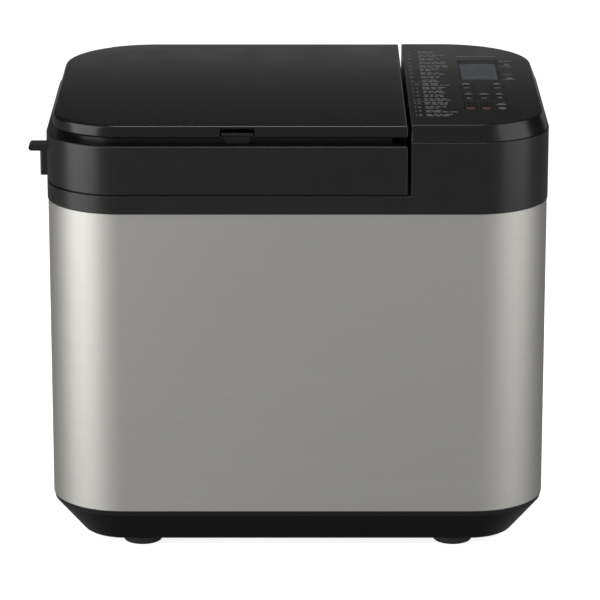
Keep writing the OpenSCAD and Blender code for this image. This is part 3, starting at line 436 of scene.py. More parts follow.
# %% [markdown]
# ### Edges of the solids
# The solids have sharp edges, which no pressed, cast or moulded piece has. Those that show, most of
# them only when the lids are open, get a small round on each edge, so that the edge draws a line of
# light. Their shape is otherwise the solids' own. The widths are in millimetres.

# %% Soft edges
MM = 0.001
SOFT_EDGES = {"pan_shell": 0.6, "kneading_blade": 1.0, "inner_lid": 0.4, "nut_box": 0.4,
              "yeast_cup": 0.3, "nut_flap": 0.4, "yeast_flap": 0.3, "dispenser_liner": 0.4,
              "rubber_feet": 0.8, "cord_gland": 0.6, "pan_ears": 0.5, "oven_liner": 0.3}
WELD_DISTANCE = 0.01
SOLID_ANGLE, SKIN_ANGLE, SHARP_ANGLE = 40, 35, 40


def soften(piece, width, angle):
    """Rounds the edges that are sharper than an angle, over a width in millimetres."""
    bevel = piece.modifiers.new("soft_edges", "BEVEL")
    bevel.width = width * MM
    bevel.segments = 2
    bevel.limit_method = "ANGLE"
    bevel.angle_limit = math.radians(angle)


def shade_evenly(piece, keep_sharp):
    """Lets the large faces decide the shading next to their rounded edges."""
    even = piece.modifiers.new("even_shading", "WEIGHTED_NORMAL")
    even.keep_sharp = keep_sharp


for name, width in SOFT_EDGES.items():
    solid = cad_nodes[name]
    solid.modifiers.new("joined_corners", "WELD").merge_threshold = WELD_DISTANCE * MM
    soften(solid, width, SOLID_ANGLE)
    shade_evenly(solid, False)
print("soft edges on", len(SOFT_EDGES), "solids")

# %% [markdown]
# ## Shape helpers
# Every outer skin of this machine follows one plan: a rectangle with one corner radius in front and
# a larger one at the back. A skin is then a path of insets and heights, and the mesh is that plan
# drawn once for each point of the path, which is how a pattern maker would stack templates. A corner
# of the path is rounded by a small arc, so each moulded edge catches the light as a real one does.

# %% Plans and rings
CORNER_STEPS, EDGE_STEPS, HEAD_STEPS = 14, 4, 12
CUT_RADIUS, LEAST_RADIUS = 1.2, 0.05


def plan(x_low, x_high, y_low, y_high, radii):
    """A plan in millimetres: its sides, and its radii from front left round to back left."""
    return {"sides": (x_low, x_high, y_low, y_high), "radii": radii}


def rounded_rectangle(x_low, y_low, x_high, y_high, radii, steps):
    """A rectangle's outline with an arc at each corner, in the same order as the radii."""
    corners = ((x_low, y_low, 1, 1, 180), (x_high, y_low, -1, 1, 270),
               (x_high, y_high, -1, -1, 0), (x_low, y_high, 1, -1, 90))
    points = []
    for (x, y, to_x, to_y, start), r in zip(corners, radii):
        for step in range(steps + 1):
            turn = math.radians(start + 90 * step / steps)
            points.append((x + to_x * r + r * math.cos(turn), y + to_y * r + r * math.sin(turn)))
    return points


def ring(shape, inset, z, cut_inset=None):
    """The plan's outline drawn in by inset; a side with small corners is a cut, with its own inset."""
    x_low, x_high, y_low, y_high = shape["sides"]
    front_left, front_right = shape["radii"][:2]
    cut = inset if cut_inset is None else cut_inset
    x_low += cut if front_left <= CUT_RADIUS else inset
    x_high -= cut if front_right <= CUT_RADIUS else inset
    radii = [max(r - (cut if r <= CUT_RADIUS else inset), LEAST_RADIUS) for r in shape["radii"]]
    outline = rounded_rectangle(x_low, y_low + inset, x_high, y_high - inset, radii, CORNER_STEPS)
    return [Vector((x, y, z)) * MM for x, y in outline]


def rounded_path(corners):
    """A path of (inset, height, radius) with each inner corner replaced by an arc of its radius."""
    path = []
    for i, (inset, z, radius) in enumerate(corners):
        here = Vector((inset, z))
        if not radius or i in (0, len(corners) - 1):
            path.append(here)
            continue
        back = (Vector(corners[i - 1][:2]) - here).normalized()
        ahead = (Vector(corners[i + 1][:2]) - here).normalized()
        half = back.angle(ahead) / 2
        centre = here + (back + ahead).normalized() * (radius / math.sin(half))
        first = here + back * (radius / math.tan(half)) - centre
        last = here + ahead * (radius / math.tan(half)) - centre
        for step in range(EDGE_STEPS + 1):
            path.append(centre + first.slerp(last, step / EDGE_STEPS) * radius)
    return path


print("a ring has", 4 * (CORNER_STEPS + 1), "points, a rounded edge", EDGE_STEPS, "facets")

# %% [markdown]
# A skin is quads between rings of points, with a cap at each end, or a closed loop of rings where a
# sheet shows both its sides. A small straight piece is simpler: an outline drawn out along an axis.
# Its outline is given across that axis, so one function makes uprights, bars and cutters alike.

# %% Skins and prisms
def as_object(name, shape):
    """An object from a bmesh, as it is."""
    mesh = bpy.data.meshes.new(name)
    shape.to_mesh(mesh)
    shape.free()
    return in_scene(name, mesh)


def new_piece(name, shape):
    """An object from a bmesh, with its doubled points joined and its faces turned outward."""
    bmesh.ops.remove_doubles(shape, verts=shape.verts, dist=1e-7)
    bmesh.ops.recalc_face_normals(shape, faces=shape.faces)
    return as_object(name, shape)


def add_skin(shape, rings, closed=False):
    """Quads between rings of points; the ends are capped, or joined if the path is closed."""
    rows = [[shape.verts.new(point) for point in points] for points in rings]
    pairs = list(zip(rows, rows[1:] + rows[:1])) if closed else list(zip(rows, rows[1:]))
    for low, high in pairs:
        for i in range(len(low)):
            shape.faces.new((low[i - 1], low[i], high[i], high[i - 1]))
    if not closed:
        shape.faces.new(rows[0])
        shape.faces.new(rows[-1])


def moulding(name, shape_plan, corners, closed=False, cut_of=None):
    """A skin along a rounded path. cut_of gives the inset of a cut side from (inset, height)."""
    shape = bmesh.new()
    path = rounded_path(corners)
    rings = [ring(shape_plan, p.x, p.y, cut_of(p.x, p.y) if cut_of else None) for p in path]
    add_skin(shape, rings, closed)
    return new_piece(name, shape)


def band(name, shape_plan, outer, inner, low, high, radius=0.0):
    """An upright band along a plan, from one inset to another, with its upper edges rounded."""
    corners = [(outer, low, 0), (outer, high, radius), (inner, high, radius), (inner, low, 0)]
    return moulding(name, shape_plan, corners, closed=True)


AXES = {"X": (1, 2, 0), "Y": (2, 0, 1), "Z": (0, 1, 2)}


def prism(name, outline, low, high, axis="Z"):
    """A flat outline in millimetres, given across an axis, drawn out along it."""
    first, second, along = AXES[axis]
    shape = bmesh.new()
    rings = []
    for end in (low, high):
        points = []
        for a, b in outline:
            point = Vector((0, 0, 0))
            point[first], point[second], point[along] = a, b, end
            points.append(point * MM)
        rings.append(points)
    add_skin(shape, rings)
    return new_piece(name, shape)


def box_outline(a_low, b_low, a_high, b_high, radius=0.0):
    """A rectangle's corners, rounded where a radius is given."""
    if not radius:
        return [(a_low, b_low), (a_high, b_low), (a_high, b_high), (a_low, b_high)]
    return rounded_rectangle(a_low, b_low, a_high, b_high, (radius,) * 4, EDGE_STEPS)


def disc_outline(a, b, radius, count=48):
    """A circle's outline."""
    turns = [2 * math.pi * i / count for i in range(count)]
    return [(a + radius * math.cos(turn), b + radius * math.sin(turn)) for turn in turns]


print("prisms run along", ", ".join(AXES))

# %% [markdown]
# Openings are cut with Blender's exact boolean, because it keeps a solid closed where many cutters
# meet. Pieces that only touch are joined as they are, each a closed skin of its own. At the end every
# piece is dressed the same way: soft edges, even shading, its finish and its body.

# %% Joining, cutting and dressing
def combine(name, pieces):
    """One object from several, each a closed skin of its own."""
    shape = bmesh.new()
    for piece in pieces:
        shape.from_mesh(piece.data)
        bpy.data.objects.remove(piece)
    return as_object(name, shape)


def final_mesh(thing):
    """What an object's modifiers or its text come to, as a mesh."""
    bpy.context.view_layer.update()
    return bpy.data.meshes.new_from_object(thing.evaluated_get(bpy.context.evaluated_depsgraph_get()))


def carve(piece, others, operation="DIFFERENCE"):
    """Cuts other solids out of a piece, or joins them to it, and keeps the resulting mesh."""
    other = combine("other", others)
    change = piece.modifiers.new("carve", "BOOLEAN")
    change.operation = operation
    change.solver = "EXACT"
    change.use_self = True
    change.object = other
    result = final_mesh(piece)
    piece.modifiers.clear()
    piece.data = result
    bpy.data.objects.remove(other)
    return piece


def dress(piece, body, slot, edge=0.0, replaced=(), look=None):
    """Rounds a piece's sharp edges, shades it, gives it its finish, and sets it on its body."""
    if edge:
        soften(piece, edge, SKIN_ANGLE)
    for face in piece.data.polygons:
        face.use_smooth = True
    piece.data.set_sharp_from_angle(angle=math.radians(SHARP_ANGLE))
    shade_evenly(piece, True)
    piece.data.materials.clear()
    piece.data.materials.append(look or FINISHES[slot])
    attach(piece, body)
    if replaced:
        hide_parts(*replaced)
    print(piece.name, "on", body, "-", len(piece.data.polygons), "faces")
    return piece


print("edges sharper than", SHARP_ANGLE, "degrees stay sharp in the shading")

# %% [markdown]
# ## The machine's own sizes
# The frame says where everything is, in metres. The plans below are in millimetres, because that is
# how such mouldings are drawn. Their sides and heights are read from the boxes of the CAD pieces, so
# a changed solid changes the skin too; what a box doesn't tell, such as a radius, is named here.

# %% Sizes from the frame
def box_mm(node):
    """The lowest and highest corner of a CAD piece, in millimetres."""
    low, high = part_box(node)
    return low / MM, high / MM


def middle_of(node):
    """The middle of a CAD piece's box: x, y and z in millimetres."""
    low, high = box_mm(node)
    return [(a + b) / 2 for a, b in zip(low, high)]


base_low = box_mm("base_tray")[0]
steel_low, steel_high = box_mm("steel_case")
frame_low, frame_high = box_mm("top_frame")
lid_low, lid_high = box_mm("lid_shell")
plate_low, plate_high = box_mm("dispenser_plate")
panel_low, panel_high = box_mm("panel_cover")
liner_top, cup_rim = box_mm("oven_liner")[1].z, box_mm("nut_box")[1].z
pin_low, pin_high = box_mm("lid_hinge_pins")
catch_low, catch_high = box_mm("dispenser_catch")

FRONT_RADIUS, REAR_RADIUS, WALL = 60, 78, 3.0
RIM_GAP, DECK_BELOW_RIM = 0.6, 1.6
left, right = frame_low.x, frame_high.x
front, back = frame_low.y, frame_high.y
middle = (left + right) / 2
ledge = frame_high.z
seam = lid_low.z
rim_top = seam - RIM_GAP
deck = cup_rim - DECK_BELOW_RIM
case_plan = plan(left, right, front, back, (FRONT_RADIUS, FRONT_RADIUS, REAR_RADIUS, REAR_RADIUS))
lid_right, panel_left = lid_high.x, panel_low.x
chamber_middle = middle_of("oven_liner")[0]
plate_bed = box_mm("chassis_plate")[0].z
print("case:", round(right - left), "by", round(back - front), "mm, lid deck at", round(deck, 1))

# %% [markdown]
# ## Base
# The base is one moulding that tapers in towards the floor, so that the machine seems to float. It is
# a tray: an outer skin, a rim under the steel, and an inner skin three millimetres behind it. Slots in
# its floor let air up to the electronics, and six screws sit in counterbores.

# %% Base
BASE_TAPER, BASE_FLAT, UPPER_CURVE, LOWER_CURVE = 26, 14, 3, 7
STEEL_INSET, LIP_DROP = 0.6, 4
base_bottom, base_top = base_low.z, steel_low.z
base = moulding("tapered_base", case_plan, [
    (BASE_TAPER + WALL, base_bottom + WALL, 0),
    (STEEL_INSET + WALL, base_top, 0),
    (STEEL_INSET + 0.2, base_top, 0.6),
    (STEEL_INSET + 1.2, base_top - LIP_DROP, UPPER_CURVE),
    (BASE_TAPER, base_bottom, LOWER_CURVE),
    (BASE_TAPER + BASE_FLAT, base_bottom, 0),
])
RIM_OUTER, RIM_INNER, RIM_RISE = 1.7, 3.7, 8
rim = band("rim", case_plan, RIM_OUTER, RIM_INNER, base_top - LIP_DROP, base_top + RIM_RISE, 0.4)
print("base:", round(base_top - base_bottom, 1), "mm high")

# %% Base openings
VENT_SLOT, VENT_PITCH, VENT_ROUND = 5, 12, 2.4
BASE_VENT_X, BASE_VENT_FRONT, BASE_VENT_BACK = 22, -112, -62
SCREW_HEAD, SINK_DEPTH, BOSS, SCREW_Y, ROUND_STEPS = 3.6, 2.6, 5, 60, 24


def vent_starts(first, count):
    """Where each slot of a row begins, along X."""
    return [middle + first + VENT_PITCH * step for step in range(count)]


screw_low, screw_high = box_mm("base_screws")
screw_x = (screw_high.x - screw_low.x) / 2 - SCREW_HEAD
far_screw_y = (screw_high.y - screw_low.y) / 2 - SCREW_HEAD
screw_places = [(middle + x, y) for x in (-screw_x, screw_x) for y in (-SCREW_Y, SCREW_Y)]
screw_places += [(chamber_middle, y) for y in (-far_screw_y, far_screw_y)]
holes = []
for x in vent_starts(BASE_VENT_X, 7):
    slot = box_outline(x, BASE_VENT_FRONT, x + VENT_SLOT, BASE_VENT_BACK, VENT_ROUND)
    holes.append(prism("slot", slot, base_bottom - 1, base_bottom + WALL + 2))
bosses = []
for x, y in screw_places:
    sink = disc_outline(x, y, SCREW_HEAD + 0.2, ROUND_STEPS)
    bosses.append(prism("boss", disc_outline(x, y, BOSS, ROUND_STEPS), base_bottom + 1, plate_bed))
    holes.append(prism("sink", sink, base_bottom - 1, base_bottom + SINK_DEPTH))
carve(base, bosses, "UNION")
carve(base, holes)
base = combine("tapered_base", [base, rim])
dress(base, "chassis", "black_satin", 0, ["base_tray"])

# %% [markdown]
# ## Steel wrap
# The wrap is a sheet one millimetre thick, bent round the plan, with its two ends meeting in a seam at
# the back. It stands round the base's rim and round the top frame's skirt, which hold its edges. Slots
# for warm air and a hole for the cord's gland are punched through the back.

# %% Steel wrap
STEEL_SHEET, LOW_GAP, HIGH_GAP = 1.0, 0.2, 0.1
WRAP_VENT_X, WRAP_VENT_LOW, WRAP_VENT_HIGH = -20, 200, 240
GLAND_HOLE_R, SEAM_X, SEAM_HALF, PUNCH_DEPTH = 8.2, -60, 0.2, 9
wrap = band("steel_wrap", case_plan, STEEL_INSET, STEEL_INSET + STEEL_SHEET,
            steel_low.z + LOW_GAP, steel_high.z - HIGH_GAP)
slots = []
for x in vent_starts(WRAP_VENT_X, 9):
    slot = box_outline(WRAP_VENT_LOW, x, WRAP_VENT_HIGH, x + VENT_SLOT, VENT_ROUND)
    slots.append(prism("slot", slot, back - PUNCH_DEPTH, back + 1, "Y"))
gland_x, _, gland_z = middle_of("cord_gland")
gland_hole = disc_outline(gland_z, gland_x, GLAND_HOLE_R)
slots.append(prism("hole", gland_hole, back - PUNCH_DEPTH, back + 1, "Y"))
wrap_seam = box_outline(steel_low.z - 1, middle + SEAM_X - SEAM_HALF,
                        steel_high.z + 1, middle + SEAM_X + SEAM_HALF)
slots.append(prism("seam", wrap_seam, back - 1, back + 1, "Y"))
carve(wrap, slots)
dress(wrap, "chassis", "brushed_steel", 0, ["steel_case"])

# %% [markdown]
# ## Top frame
# The black frame caps the steel, carries the lid and rises on the right to hold the control panel.
# Its outer wall is low under the lid and high under the panel, with one face all the way up, so it is
# drawn as one strip round the plan whose height steps where the lid ends.

# %% Top frame
frame_foot = steel_high.z
frame_deck = rim_top - WALL


def stepped_wall(name, thickness, low, step_low, step_high, step_x):
    """A wall along the case's plan, low to the left of step_x and high to the right of it."""
    faces = [[point / MM for point in ring(case_plan, inset, 0)] for inset in (0, thickness)]
    corners = list(zip(*faces))
    strip = []
    for (here, inside), (ahead, inside_ahead) in zip(corners, corners[1:] + corners[:1]):
        strip.append((here, inside))
        if (here.x - step_x) * (ahead.x - step_x) < 0:
            share = (step_x - here.x) / (ahead.x - here.x)
            share_inside = (step_x - inside.x) / (inside_ahead.x - inside.x)
            strip.append((here.lerp(ahead, share), inside.lerp(inside_ahead, share_inside)))
    shape = bmesh.new()
    levels = (low, step_low, step_high)
    columns = []
    for pair in strip:
        sides = [[shape.verts.new(Vector((point.x, point.y, z)) * MM) for z in levels] for point in pair]
        columns.append((pair[0].x, *sides))
    for (x, near, far), (next_x, next_near, next_far) in zip(columns, columns[1:] + columns[:1]):
        top = 2 if x + next_x > 2 * step_x else 1
        for k in range(top):
            shape.faces.new((near[k], next_near[k], next_near[k + 1], near[k + 1]))
            shape.faces.new((far[k + 1], next_far[k + 1], next_far[k], far[k]))
        shape.faces.new((near[top], next_near[top], next_far[top], far[top]))
        shape.faces.new((near[0], far[0], next_far[0], next_near[0]))
        if abs(x - step_x) < 1e-6:
            shape.faces.new((near[1], near[2], far[2], far[1]))
    bmesh.ops.delete(shape, geom=[v for v in shape.verts if not v.link_faces], context="VERTS")
    return new_piece(name, shape)


SEAM_SHADOW = 0.5
outer_wall = stepped_wall("outer_wall", WALL, frame_foot, rim_top - SEAM_SHADOW, ledge, panel_left)
dress(outer_wall, "chassis", "black_satin", 0.5)

# %% [markdown]
# Behind that wall the frame has a skirt that holds the steel, a rim round the chamber, a floor with
# two openings, a partition beside the lid, and two ears for the hinge pins. Each reaches a little
# way into its neighbour, so that no gap shows between them.

# %% Inner frame
OVERLAP, RING_INNER, SKIRT_OUTER, SKIRT_INNER, SKIRT_DROP = 0.5, 9, 1.8, 4.3, 10
rim_ring = moulding("rim_ring", case_plan, [
    (WALL - OVERLAP, frame_deck - OVERLAP, 0),
    (WALL - OVERLAP, rim_top, 0),
    (RING_INNER, rim_top, 0.8),
    (RING_INNER, frame_deck - OVERLAP, 0),
], closed=True)
skirt = band("skirt", case_plan, SKIRT_OUTER, SKIRT_INNER, frame_foot - SKIRT_DROP, frame_foot + 1)
floor_plate = moulding("floor_plate", case_plan, [(WALL - 1, liner_top, 0), (WALL - 1, frame_deck, 0)])
CHAMBER_HALF_W, CHAMBER_HALF_D, CHAMBER_R = 116, 100, 30
mouth = box_outline(chamber_middle - CHAMBER_HALF_W - 1, -CHAMBER_HALF_D - 1,
                    chamber_middle + CHAMBER_HALF_W + 1, CHAMBER_HALF_D + 1, CHAMBER_R + 1)
WELL_LEFT, WELL_RIGHT, WELL_HALF_D, WELL_R = 10, 30, 120, 20
well = box_outline(panel_left + WELL_LEFT, -WELL_HALF_D, right - WELL_RIGHT, WELL_HALF_D, WELL_R)
carve(floor_plate, [prism("mouth", mouth, liner_top - 1, rim_top + 1),
                    prism("well", well, liner_top - 1, frame_deck + 1)])
partition = prism("partition", box_outline(panel_left, front + 2, panel_left + WALL, back - 2),
                  frame_deck - OVERLAP, ledge)


def arch(name, x, half, pin_y, pin_z, radius, foot_z):
    """An upright tab with a round head about a pin that lies along X."""
    turns = [math.pi * k / HEAD_STEPS for k in range(HEAD_STEPS + 1)]
    head = [(pin_y - radius * math.cos(t), pin_z + radius * math.sin(t)) for t in turns]
    outline = [(pin_y - radius, foot_z), *head, (pin_y + radius, foot_z)]
    return prism(name, outline, x - half, x + half, "X")


EAR_HALF, EAR_R, PIN_HALF = 6, 6, 12.9
_, hinge_y, hinge_z = middle_of("lid_hinge_pins")
hinge_xs = [pin_low.x + PIN_HALF, pin_high.x - PIN_HALF]
ears = [arch("ear", x, EAR_HALF, hinge_y, hinge_z, EAR_R, frame_deck - OVERLAP) for x in hinge_xs]
inner_frame = combine("top_frame_inner", [rim_ring, skirt, floor_plate, partition] + ears)
dress(inner_frame, "chassis", "black_satin", 0, ["top_frame"])

# %% [markdown]
# ## Lid
# The lid is a shell three millimetres thick. Its rear edge is solid and round about the hinge, so that
# it rolls clear of the frame as it opens, and two slots in that edge take the frame's ears. The deck
# has openings for the nut box and the yeast cup, and an upstand that the dispenser lid closes over.

# %% Lid
lid_plan = plan(left, lid_right, front, back, (FRONT_RADIUS, CUT_RADIUS, CUT_RADIUS, REAR_RADIUS))
lid = moulding("lid_skin", lid_plan, [
    (WALL, deck - WALL, 0),
    (WALL, seam, 0),
    (0, seam, 0.4),
    (0, deck, 1.6),
    (10, deck, 0),
])
print("lid skin:", len(lid.data.polygons), "faces")

# %% [markdown]
# A plate that turns about a pin near its rear edge would scrape the frame with a square corner. So the
# edge is made solid, rounded about the pin with a cutter, and slotted where the frame's ears stand.
# Both lids are hinged this way, so the three helpers serve both.

# %% Lid hinge edge and openings
BAR_INSET, CUT_PAST, SLOT_GAP = 0.3, 2, 0.4


def rear_bar(shape_plan, y_from, z_low, z_high):
    """The solid rear edge of a lid: its plan behind one line, drawn up."""
    outline = [(p.x / MM, p.y / MM) for p in ring(shape_plan, BAR_INSET, 0)]
    kept = []
    for (x0, y0), (x1, y1) in zip(outline, outline[1:] + outline[:1]):
        if y0 >= y_from:
            kept.append((x0, y0))
        if (y0 - y_from) * (y1 - y_from) < 0:
            kept.append((x0 + (x1 - x0) * (y_from - y0) / (y1 - y0), y_from))
    return prism("bar", kept, z_low, z_high)


def roll_cutter(y, z, radius, z_below, y_behind):
    """What has to go from behind and below a hinge, so that the edge is round about it."""
    turns = [math.pi / 2 * k / HEAD_STEPS for k in range(HEAD_STEPS + 1)]
    roll = [(y + radius * math.cos(t), z - radius * math.sin(t)) for t in turns]
    outline = [(y, z_below), (y_behind, z_below), (y_behind, z), *roll]
    return prism("roll", outline, left - 20, right + 20, "X")


def hinge_slots(half, y, z, radius, z_low, y_high):
    """A slot round each ear or lug, open below and behind."""
    reach, half = radius + SLOT_GAP, half + SLOT_GAP
    outline = box_outline(y - reach, z_low, y_high, z + reach)
    return [prism("slot", outline, x - half, x + half, "X") for x in hinge_xs]


LID_ROLL, BAR_DEPTH, BAR_RISE = 9, 10, 3
NUT_HALF_W, NUT_HALF_D, CUP_R = 43, 59, 22.2
nut_x, cup_x = middle_of("nut_box")[0], middle_of("yeast_cup")[0]
nut_opening = box_outline(nut_x - NUT_HALF_W, -NUT_HALF_D, nut_x + NUT_HALF_W, NUT_HALF_D, 2)
carve(lid, [rear_bar(lid_plan, hinge_y - BAR_DEPTH, seam + 0.2, hinge_z + BAR_RISE)], "UNION")
cutters = [roll_cutter(hinge_y, hinge_z, LID_ROLL, seam - CUT_PAST, back + CUT_PAST)]
cutters += hinge_slots(EAR_HALF, hinge_y, hinge_z, EAR_R, seam - CUT_PAST, back + CUT_PAST)
cutters += [prism("opening", outline, deck - WALL - 1, deck + 1)
            for outline in (nut_opening, disc_outline(cup_x, 0, CUP_R))]
carve(lid, cutters)
print("lid cut for", len(cutters), "openings and edges")

# %% [markdown]
# The upstand, the dispenser lid's hinge lugs and the catch's rails are moulded with the lid, so they
# join its mesh. So is the grip, a short finger tab with a round tip on the left wall and a rib below
# it, but it keeps a mesh of its own, because its edges are rounder.

# %% Lid details
plate_left, plate_front, plate_back = plate_low.x, plate_low.y, plate_high.y
PLATE_FRONT_R, PLATE_REAR_R = 54, 74
plate_plan = plan(plate_left, lid_right, plate_front, plate_back,
                  (PLATE_FRONT_R, CUT_RADIUS, CUT_RADIUS, PLATE_REAR_R))
UPSTAND_OUTER, UPSTAND_INNER = 12, 14
upstand = band("upstand", plate_plan, UPSTAND_OUTER, UPSTAND_INNER, deck - OVERLAP,
               plate_low.z - OVERLAP, 0.5)
CATCH_HALF, CATCH_GAP, GAP_RISE = 10, 0.4, 2.8
RAIL_X, RAIL_FRONT, RAIL_BACK, RAIL_RISE = CATCH_HALF + 1.5, 15, 30, 3
catch_x = middle_of("dispenser_catch")[0]
gap = box_outline(catch_x - CATCH_HALF - CATCH_GAP, plate_front + UPSTAND_OUTER - 1,
                  catch_x + CATCH_HALF + CATCH_GAP, plate_front + UPSTAND_INNER + 1)
carve(upstand, [prism("gap", gap, deck, deck + GAP_RISE)])
LUG_HALF, LUG_R = 5, 3.1
_, lug_y, lug_z = middle_of("dispenser_hinge_pins")
details = [upstand]
details += [arch("lug", x, LUG_HALF, lug_y, lug_z, LUG_R, deck - OVERLAP) for x in hinge_xs]
for x in (catch_x - RAIL_X, catch_x + RAIL_X):
    rail = box_outline(x - 1, plate_front + RAIL_FRONT, x + 1, plate_front + RAIL_BACK)
    details.append(prism("rail", rail, deck - OVERLAP, deck + RAIL_RISE))
print("details moulded with the lid:", len(details))

# %% Grip and finish of the lid
GRIP_Y, GRIP_D, GRIP_T, GRIP_RISE, GRIP_WEB, ROOT, TIP_STEPS = -88.5, 15, 5, 19.8, 5.8, 2, 10
grip_z, tip_r = seam + GRIP_RISE, GRIP_T / 2
turns = [math.pi * k / TIP_STEPS for k in range(TIP_STEPS + 1)]
tip = [(grip_z + tip_r - tip_r * math.cos(t), lid_low.x + tip_r - tip_r * math.sin(t)) for t in turns]
tab = prism("tab", [(grip_z, left + ROOT), *tip, (grip_z + GRIP_T, left + ROOT)],
            GRIP_Y, GRIP_Y + GRIP_D, "Y")
web = prism("web", box_outline(left - GRIP_WEB, GRIP_Y, left + ROOT, GRIP_Y + GRIP_D, 1.5),
            seam, grip_z + 1)
grip = carve(tab, [web], "UNION")
grip.name = "lid_grip"
dress(grip, "lid", "black_satin", 0.8)
lid = combine("lid_skin", [lid] + details)
dress(lid, "lid", "black_satin", 0, ["lid_shell"])

# %% [markdown]
# ## Dispenser lid
# The thin lid on top opens over the nut box and the yeast cup. It is a plate with a lip, a shadow gap
# below it, and a notch in the front lip where the catch shows. Its rear edge is round about its own
# hinge, and two slots there take the lid's lugs.

# %% Dispenser lid
PLATE_SKIN, PLATE_LIP, PLATE_ROLL, PLATE_BAR = 1.8, 2.2, 5, 6
plate = moulding("dispenser_lid_skin", plate_plan, [
    (PLATE_LIP, plate_high.z - PLATE_SKIN, 0),
    (PLATE_LIP, plate_low.z, 0),
    (0, plate_low.z, 2.1),
    (0, plate_high.z, 2.4),
    (10, plate_high.z, 0),
])
plate_bar = rear_bar(plate_plan, lug_y - PLATE_BAR, plate_low.z + 0.2, plate_high.z - BAR_INSET)
carve(plate, [plate_bar], "UNION")
notch = box_outline(catch_low.x - 1, front - 1, catch_high.x + 1, plate_front + PLATE_LIP + 1)
cutters = [roll_cutter(lug_y, lug_z, PLATE_ROLL, plate_low.z - CUT_PAST, back + CUT_PAST),
           prism("notch", notch, plate_low.z - 1, plate_high.z - PLATE_SKIN - 0.2)]
cutters += hinge_slots(LUG_HALF, lug_y, lug_z, LUG_R, plate_low.z - CUT_PAST, back + CUT_PAST)
carve(plate, cutters)
dress(plate, "dispenser_lid", "black_gloss", 0, ["dispenser_plate"])

# %% [markdown]
# The catch is a small lever: its nose shows in the notch, where a finger pushes it back, and its foot
# slides between two rails on the lid's deck. The nose slopes in below its edge, so only the edge
# catches the light.

# %% Catch
NOSE_BACK, NOSE_LOW, NOSE_EDGE, NOSE_HIGH, NOSE_SLOPE = 0.6, 0.8, 1.8, 4.4, 3
STEM_BACK, STEM_T, FOOT_T = 7, 3, 2
nose_y, nose_low, nose_high = plate_front + NOSE_BACK, plate_low.z + NOSE_LOW, plate_low.z + NOSE_HIGH
stem_y, stem_top, foot_z = plate_front + STEM_BACK, plate_low.z + 1, catch_low.z
stem_back = stem_y + STEM_T
nose = prism("nose", [(nose_y, plate_low.z + NOSE_EDGE), (nose_y + NOSE_SLOPE, nose_low),
                      (stem_back, nose_low), (stem_back, nose_high), (nose_y, nose_high)],
             catch_low.x, catch_high.x, "X")
foot = prism("foot", [(stem_y, foot_z), (catch_high.y, foot_z), (catch_high.y, foot_z + FOOT_T),
                      (stem_back, foot_z + FOOT_T), (stem_back, stem_top), (stem_y, stem_top)],
             catch_x - CATCH_HALF, catch_x + CATCH_HALF, "X")
lever = combine("catch_lever", [nose, foot])
dress(lever, "catch", "black_satin", 0.3, ["dispenser_catch"])

# %% [markdown]
# ## Control panel
# The panel closes the right end of the top. Its outer sides slope in, so the top is a little smaller
# than the case, and its left side is upright, because it faces the lid. The keys come up through
# eight openings, and a window lies over the display.

# %% Control panel
PANEL_FOOT_INSET, PANEL_TOP_INSET, PANEL_SKIN, PANEL_WALL = 0.5, 5.5, 2.5, 2.2
PANEL_GAP, PRINT = 0.1, 0.05
panel_foot, panel_top = ledge + PANEL_GAP, panel_high.z - PRINT
panel_rise = panel_top - panel_foot
panel_plan = plan(panel_left, right, front, back, (CUT_RADIUS, FRONT_RADIUS, REAR_RADIUS, CUT_RADIUS))


def panel_cut(inset, z):
    """The left side stays upright: only what the path adds to the slope moves it."""
    slope = PANEL_FOOT_INSET + (PANEL_TOP_INSET - PANEL_FOOT_INSET) * (z - panel_foot) / panel_rise
    return max(0.0, inset - slope)


panel = moulding("control_panel", panel_plan, [
    (PANEL_TOP_INSET + PANEL_WALL, panel_top - PANEL_SKIN, 0),
    (PANEL_FOOT_INSET + PANEL_WALL, panel_foot, 0),
    (PANEL_FOOT_INSET, panel_foot, 0.5),
    (PANEL_TOP_INSET, panel_top, 1.2),
    (PANEL_TOP_INSET + 8, panel_top, 0),
], cut_of=panel_cut)
print("panel:", round(panel_rise, 1), "mm high")

# %% Panel openings
WINDOW_GAP, WINDOW_SEAT, KEY_GAP, KEY_R, KEY_HALF_W, KEY_HALF_D = 0.1, 2, 0.4, 2, 5, 7.5
THROUGH, STAND_OFF_R, STAND_OFF_X, STAND_OFF_Y = 4, 3, 5, 6
window_low, window_high = box_mm("panel_window")
board_low, board_high = box_mm("control_board")
KEYS = [f"key_{number}" for number in range(1, 9)]
key_places = [middle_of(key)[:2] for key in KEYS]


def window_outline(gap):
    """The window's outline, larger by a gap on each side."""
    return box_outline(window_low.x - gap, window_low.y - gap,
                       window_high.x + gap, window_high.y + gap, KEY_R)


recess, through = (window_outline(gap) for gap in (WINDOW_GAP, -WINDOW_SEAT))
openings = [prism("recess", recess, window_low.z, panel_top + 1),
            prism("opening", through, panel_top - THROUGH, panel_top)]
half_w, half_d = KEY_HALF_W + KEY_GAP, KEY_HALF_D + KEY_GAP
for x, y in key_places:
    outline = box_outline(x - half_w, y - half_d, x + half_w, y + half_d, KEY_R + KEY_GAP)
    openings.append(prism("opening", outline, panel_top - THROUGH, panel_top + 1))
carve(panel, openings)
stand_offs = []
for x in (board_low.x + STAND_OFF_X, board_high.x - STAND_OFF_X):
    for y in (board_low.y + STAND_OFF_Y, board_high.y - STAND_OFF_Y):
        outline = disc_outline(x, y, STAND_OFF_R, 20)
        stand_offs.append(prism("stand_off", outline, board_high.z, panel_top - PANEL_SKIN + 1))
panel = combine("control_panel", [panel] + stand_offs)
dress(panel, "chassis", "black_gloss", 0, ["panel_cover"])

